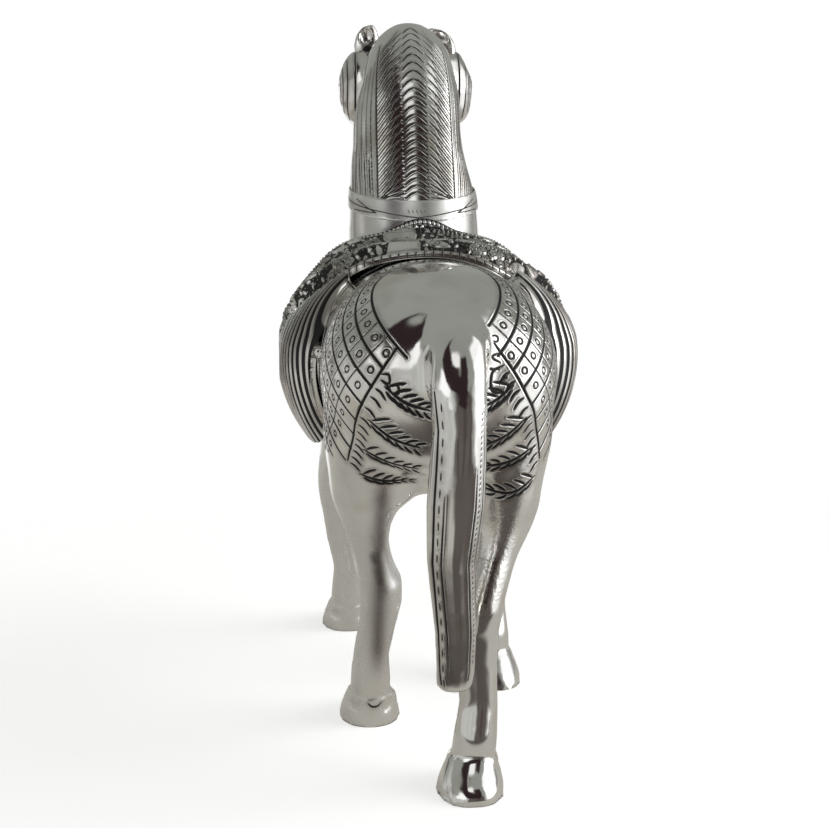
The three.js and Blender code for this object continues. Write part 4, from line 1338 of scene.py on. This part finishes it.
# Left of it a pit under a folded leaf, a flower of ring-punched petals, a fan of leaves and a ring flower
work.leaf((16.5, -10), (23, -7.5), 1.5, 0.3, 2)
work.leaf((26.5, -9.2), (18.2, -6.0), 1.2, 0.3, 0)
work.leaf((17.2, -19.5), (18.6, -12), 1.1, 0.2, 0)
for x, y, rx, ry in ((23.4, -14.6, 2.7, 2.9), (-13.4, -18.2, 1.7, 2.0), (20.4, -12.8, 1.2, 1.4)):
    work.hollow(work.disc(x, y, rx, ry), 0.9, 0.2, -0.6)
work.flower(32.8, -14.2, 1.2, 6, 0.25, 1.1)
work.fan(41.2, -19.3, 1.25, 9.5, 7, 1.9)
work.leaf((40, -19.6), (46, -17.5), 1.0, 0, 2)
work.flower(49.2, -12.6, 0.85, 6)
work.shape(work.disc(54.8, -5.6, 2.5, 2.7), 0.6)
work.groove(work.disc(54.8, -5.6, 1.2, 1.3), 0.45)
work.fan(56.5, -1.5, 0.9, 7, 5, 1.8)
work.flower(62.5, 1.5, 0.8, 5)

# Over the roll, towards the front: long leaves along the border and more flowers and fans between them
for side in (1, -1):
    for start, end, wide in (((17, 22.5), (24.5, 26), 1.5), ((23.5, 20), (31, 25), 1.7),
                             ((30, 19), (38, 24), 1.8), ((37.5, 17), (45, 23), 1.8)):
        work.leaf((side * start[0], start[1]), (side * end[0], end[1]), wide, 0.4 * side, 3)
    work.leaf((side * 16 - 1, -3), (side * 25, 1), 2.0, -0.3 * side, 3)
    work.flower(side * 21, 10, 1.0, 6)
    work.fan(side * 28, 6, 1.57 - side * 0.4, 7)
    work.flower(side * 35, 4, 1.1, 6)
    work.leaf((side * 43, -5), (side * 47, 5), 2.0, -0.4, 4)
    work.flower(side * 46.5, 13, 0.95, 6)
    work.fan(side * 53.5, 3, 1.57, 7)
    work.flower(side * 55, 16, 0.8, 6)
    work.leaf((side * 59, 8), (side * 65, 13), 1.5, 0.3, 3)
    work.fan(side * 67, 2, 1.57 - side * 1.2, 5, 5)
for k in range(7):
    work.groove(work.segment((-3 - 1.7 * k, 17 - 0.9 * k), (-4.6 - 1.7 * k, 22 - 0.3 * k)), 0.45)
    work.shape(work.lens((-3.8 - 1.7 * k, 15 - 0.8 * k), (-4.4 - 1.7 * k, 20 - 0.4 * k), 0.7), 0.4, 0.25)

# Small leaves and seeds scattered over the ground that is left
for column in range(-28, 29):
    for row in range(-9, 15):
        x = 2.5 * column + 1.1 * math.sin(7 * row + 3 * column)
        y = 2.5 * row + 1.1 * math.sin(5 * column + 2 * row)
        turn = 2.4 * math.sin(11 * column + 5 * row)
        if work.bare(x, y, 1.15):
            reach_x, reach_y = 1.25 * math.cos(turn), 1.25 * math.sin(turn)
            work.shape(work.lens((x - reach_x, y - reach_y), (x + reach_x, y + reach_y), 0.62), 0.4, 0.2)

# Plain borders: the rear one notched, the front one beaded
from_front = from_rear.max(axis=1, keepdims=True) - from_rear
work.shape(from_rear - 2.3, 0.1, 0.25)
work.shape(from_front - 2.1, 0.05, 0.3)
notch = np.abs(np.mod(cloth_across, 3.0) - 1.5)
notch = np.where(from_rear < 1.8, notch - 0.22, 2)
work.gap = np.minimum(work.gap, notch)
work.lift -= 0.35 * soft_step(notch, 0.1, -0.2)
bead_x = np.mod(cloth_across, 1.7) - 0.85
bead = np.hypot(bead_x, from_front - 1.0) - 0.62
beads = soft_step(bead, 0.05, -0.5)
in_band = from_front < 1.9
work.lift = np.where(in_band, -0.25 + beads * 0.75, work.lift)
work.gap = np.where(in_band, -bead * 0.7 + 0.05, work.gap)
edge_fade = soft_step(np.minimum(from_rear, from_front), 0.05, 0.5)
cloth_outside = cloth_base + normal * (work.lift * edge_fade * MM)[:, :, None]
cloth_gap = np.clip(work.gap, -2, 2)
cloth_under = back + normal * ((CLOTH_CLEARANCE + np.clip(lifted * 0.9, 0, 2)) * MM)[:, :, None]
cloth = sheet("chased_saddle_cloth", cloth_outside, cloth_under, cloth_gap)
placed(cloth, chased_finish, "saddle_cloth")


# Side cloths: a thin casting on each flank, gathered and brazed under the saddle cloth, and falling in even
# flutes. The valleys between them are darkened almost to black.
SKIRT_TOP = 160
SKIRT_HEM = 105
SKIRT_HALF = 37
SKIRT_TUCK = 0.6
SKIRT_REAR = 36
SKIRT_FRONT = 38
SKIRT_THICKNESS = 4.4
FLUTES = 17
FLUTE_DEPTH = 1.8
SKIRT_ROWS = 241
SKIRT_COLUMNS = 201
COARSE_ROWS = 41
COARSE_COLUMNS = 25


def skirt_top(ahead):
    """Height of the side cloth's upper edge: the saddle cloth's lower edge, or its own shoulder."""
    if ahead <= -CLOTH_REAR:
        return np.interp(-ahead, (CLOTH_REAR, 28, 32, SKIRT_REAR), (161, 157, 150, 134))
    if ahead >= CLOTH_FRONT:
        return np.interp(ahead, (CLOTH_FRONT, 36, 37, SKIRT_FRONT), (160, 157, 150, 138))
    shares = np.linspace(0, 1, 12)
    if ahead < CLOTH_TIP:
        share = np.interp(ahead, rear_hem(shares), shares)
    else:
        share = np.interp(-ahead, -front_hem(shares), shares)
    return CLOTH_SHOULDER - HEM_FALL * share - HEM_BEND * share ** 2 - SKIRT_TUCK


def skirt_hem(ahead):
    corner = 16 * max(0, abs(ahead) / SKIRT_HALF - 0.84) / 0.16 * 0.5
    return SKIRT_HEM + 3 * (ahead / SKIRT_HALF) ** 2 + corner


def skin_at_height(side, ahead, height):
    """The bare skin of a flank at a height."""
    low, high = 10, 130
    for _ in range(12):
        turn = (low + high) / 2
        spot = hide(side * turn, ahead)
        if spot is None or spot.z / MM < height:
            high = turn
        else:
            low = turn
    return hide(side * low, ahead)


for side, name in ((1, "left"), (-1, "right")):
    ways = np.linspace(-SKIRT_REAR, SKIRT_FRONT, COARSE_ROWS)
    coarse = np.zeros((COARSE_ROWS, COARSE_COLUMNS, 3))
    for i, ahead_mm in enumerate(ways):
        top, hem = skirt_top(ahead_mm), skirt_hem(ahead_mm)
        for j in range(COARSE_COLUMNS):
            height = top + (hem - top) * j / (COARSE_COLUMNS - 1)
            coarse[i, j] = skin_at_height(side, ahead_mm, height)
    coarse = soothed(coarse, 8)
    flank = finer(coarse, SKIRT_ROWS, SKIRT_COLUMNS)
    normal = outward(flank)
    if normal[SKIRT_ROWS // 2, SKIRT_COLUMNS // 2, 0] * side < 0:
        normal = -normal
    ahead_mm = (middle - flank[:, :, 1]) / MM
    height = flank[:, :, 2] / MM
    narrow = np.interp(height, (SKIRT_HEM, 120, 140, SKIRT_TOP), (1.04, 1.0, 0.9, 0.62))
    fold = (ahead_mm + 1) / (SKIRT_HALF * narrow)
    wave = np.abs(np.sin(math.pi * FLUTES * (fold + 1) / 2))
    inset = 1 - np.abs(ahead_mm / (SKIRT_HALF + 0.5))
    swell = np.sin(np.clip(inset / 0.55, 0, 1) * math.pi / 2)
    down = np.clip((height - SKIRT_TOP) / (SKIRT_HEM - SKIRT_TOP), 0, 1)
    full = SKIRT_THICKNESS + CLOTH_FLARE * 0.95 * np.clip(down * 2.2, 0, 1)
    full += (0.3 if side > 0 else 1.3) * np.sin(math.pi * down ** 0.8)
    fade = soft_step(inset, 0.0, 0.06)
    flutes = FLUTE_DEPTH * (1 - wave ** 0.8) * (0.3 + 0.7 * swell) * fade
    top_mm = CLOTH_CLEARANCE + 1.2 + (full - 1.2) * (0.1 + 0.9 * swell) - flutes
    outside = flank + normal * (np.maximum(top_mm, CLOTH_CLEARANCE + 0.7) * MM)[:, :, None]
    outside[:, :, 0] -= CLOTH_SIDE_OFFSET * MM * swell
    outside[:, :, 0] = np.clip(outside[:, :, 0], cad_box[0].x + BOX_GAP, cad_box[1].x - BOX_GAP)
    inside = flank + normal * CLOTH_CLEARANCE * MM
    phase = np.mod(FLUTES * (fold + 1) / 2 - 0.14 + 0.5, 1)
    valley = np.minimum((wave - 0.30) * 1.2, (np.abs(phase - 0.5) - 0.13) * 4)
    skirt = sheet(f"pleated_cloth_{name}", outside, inside, valley)
    placed(skirt, chased_finish, f"side_cloth_{name}")
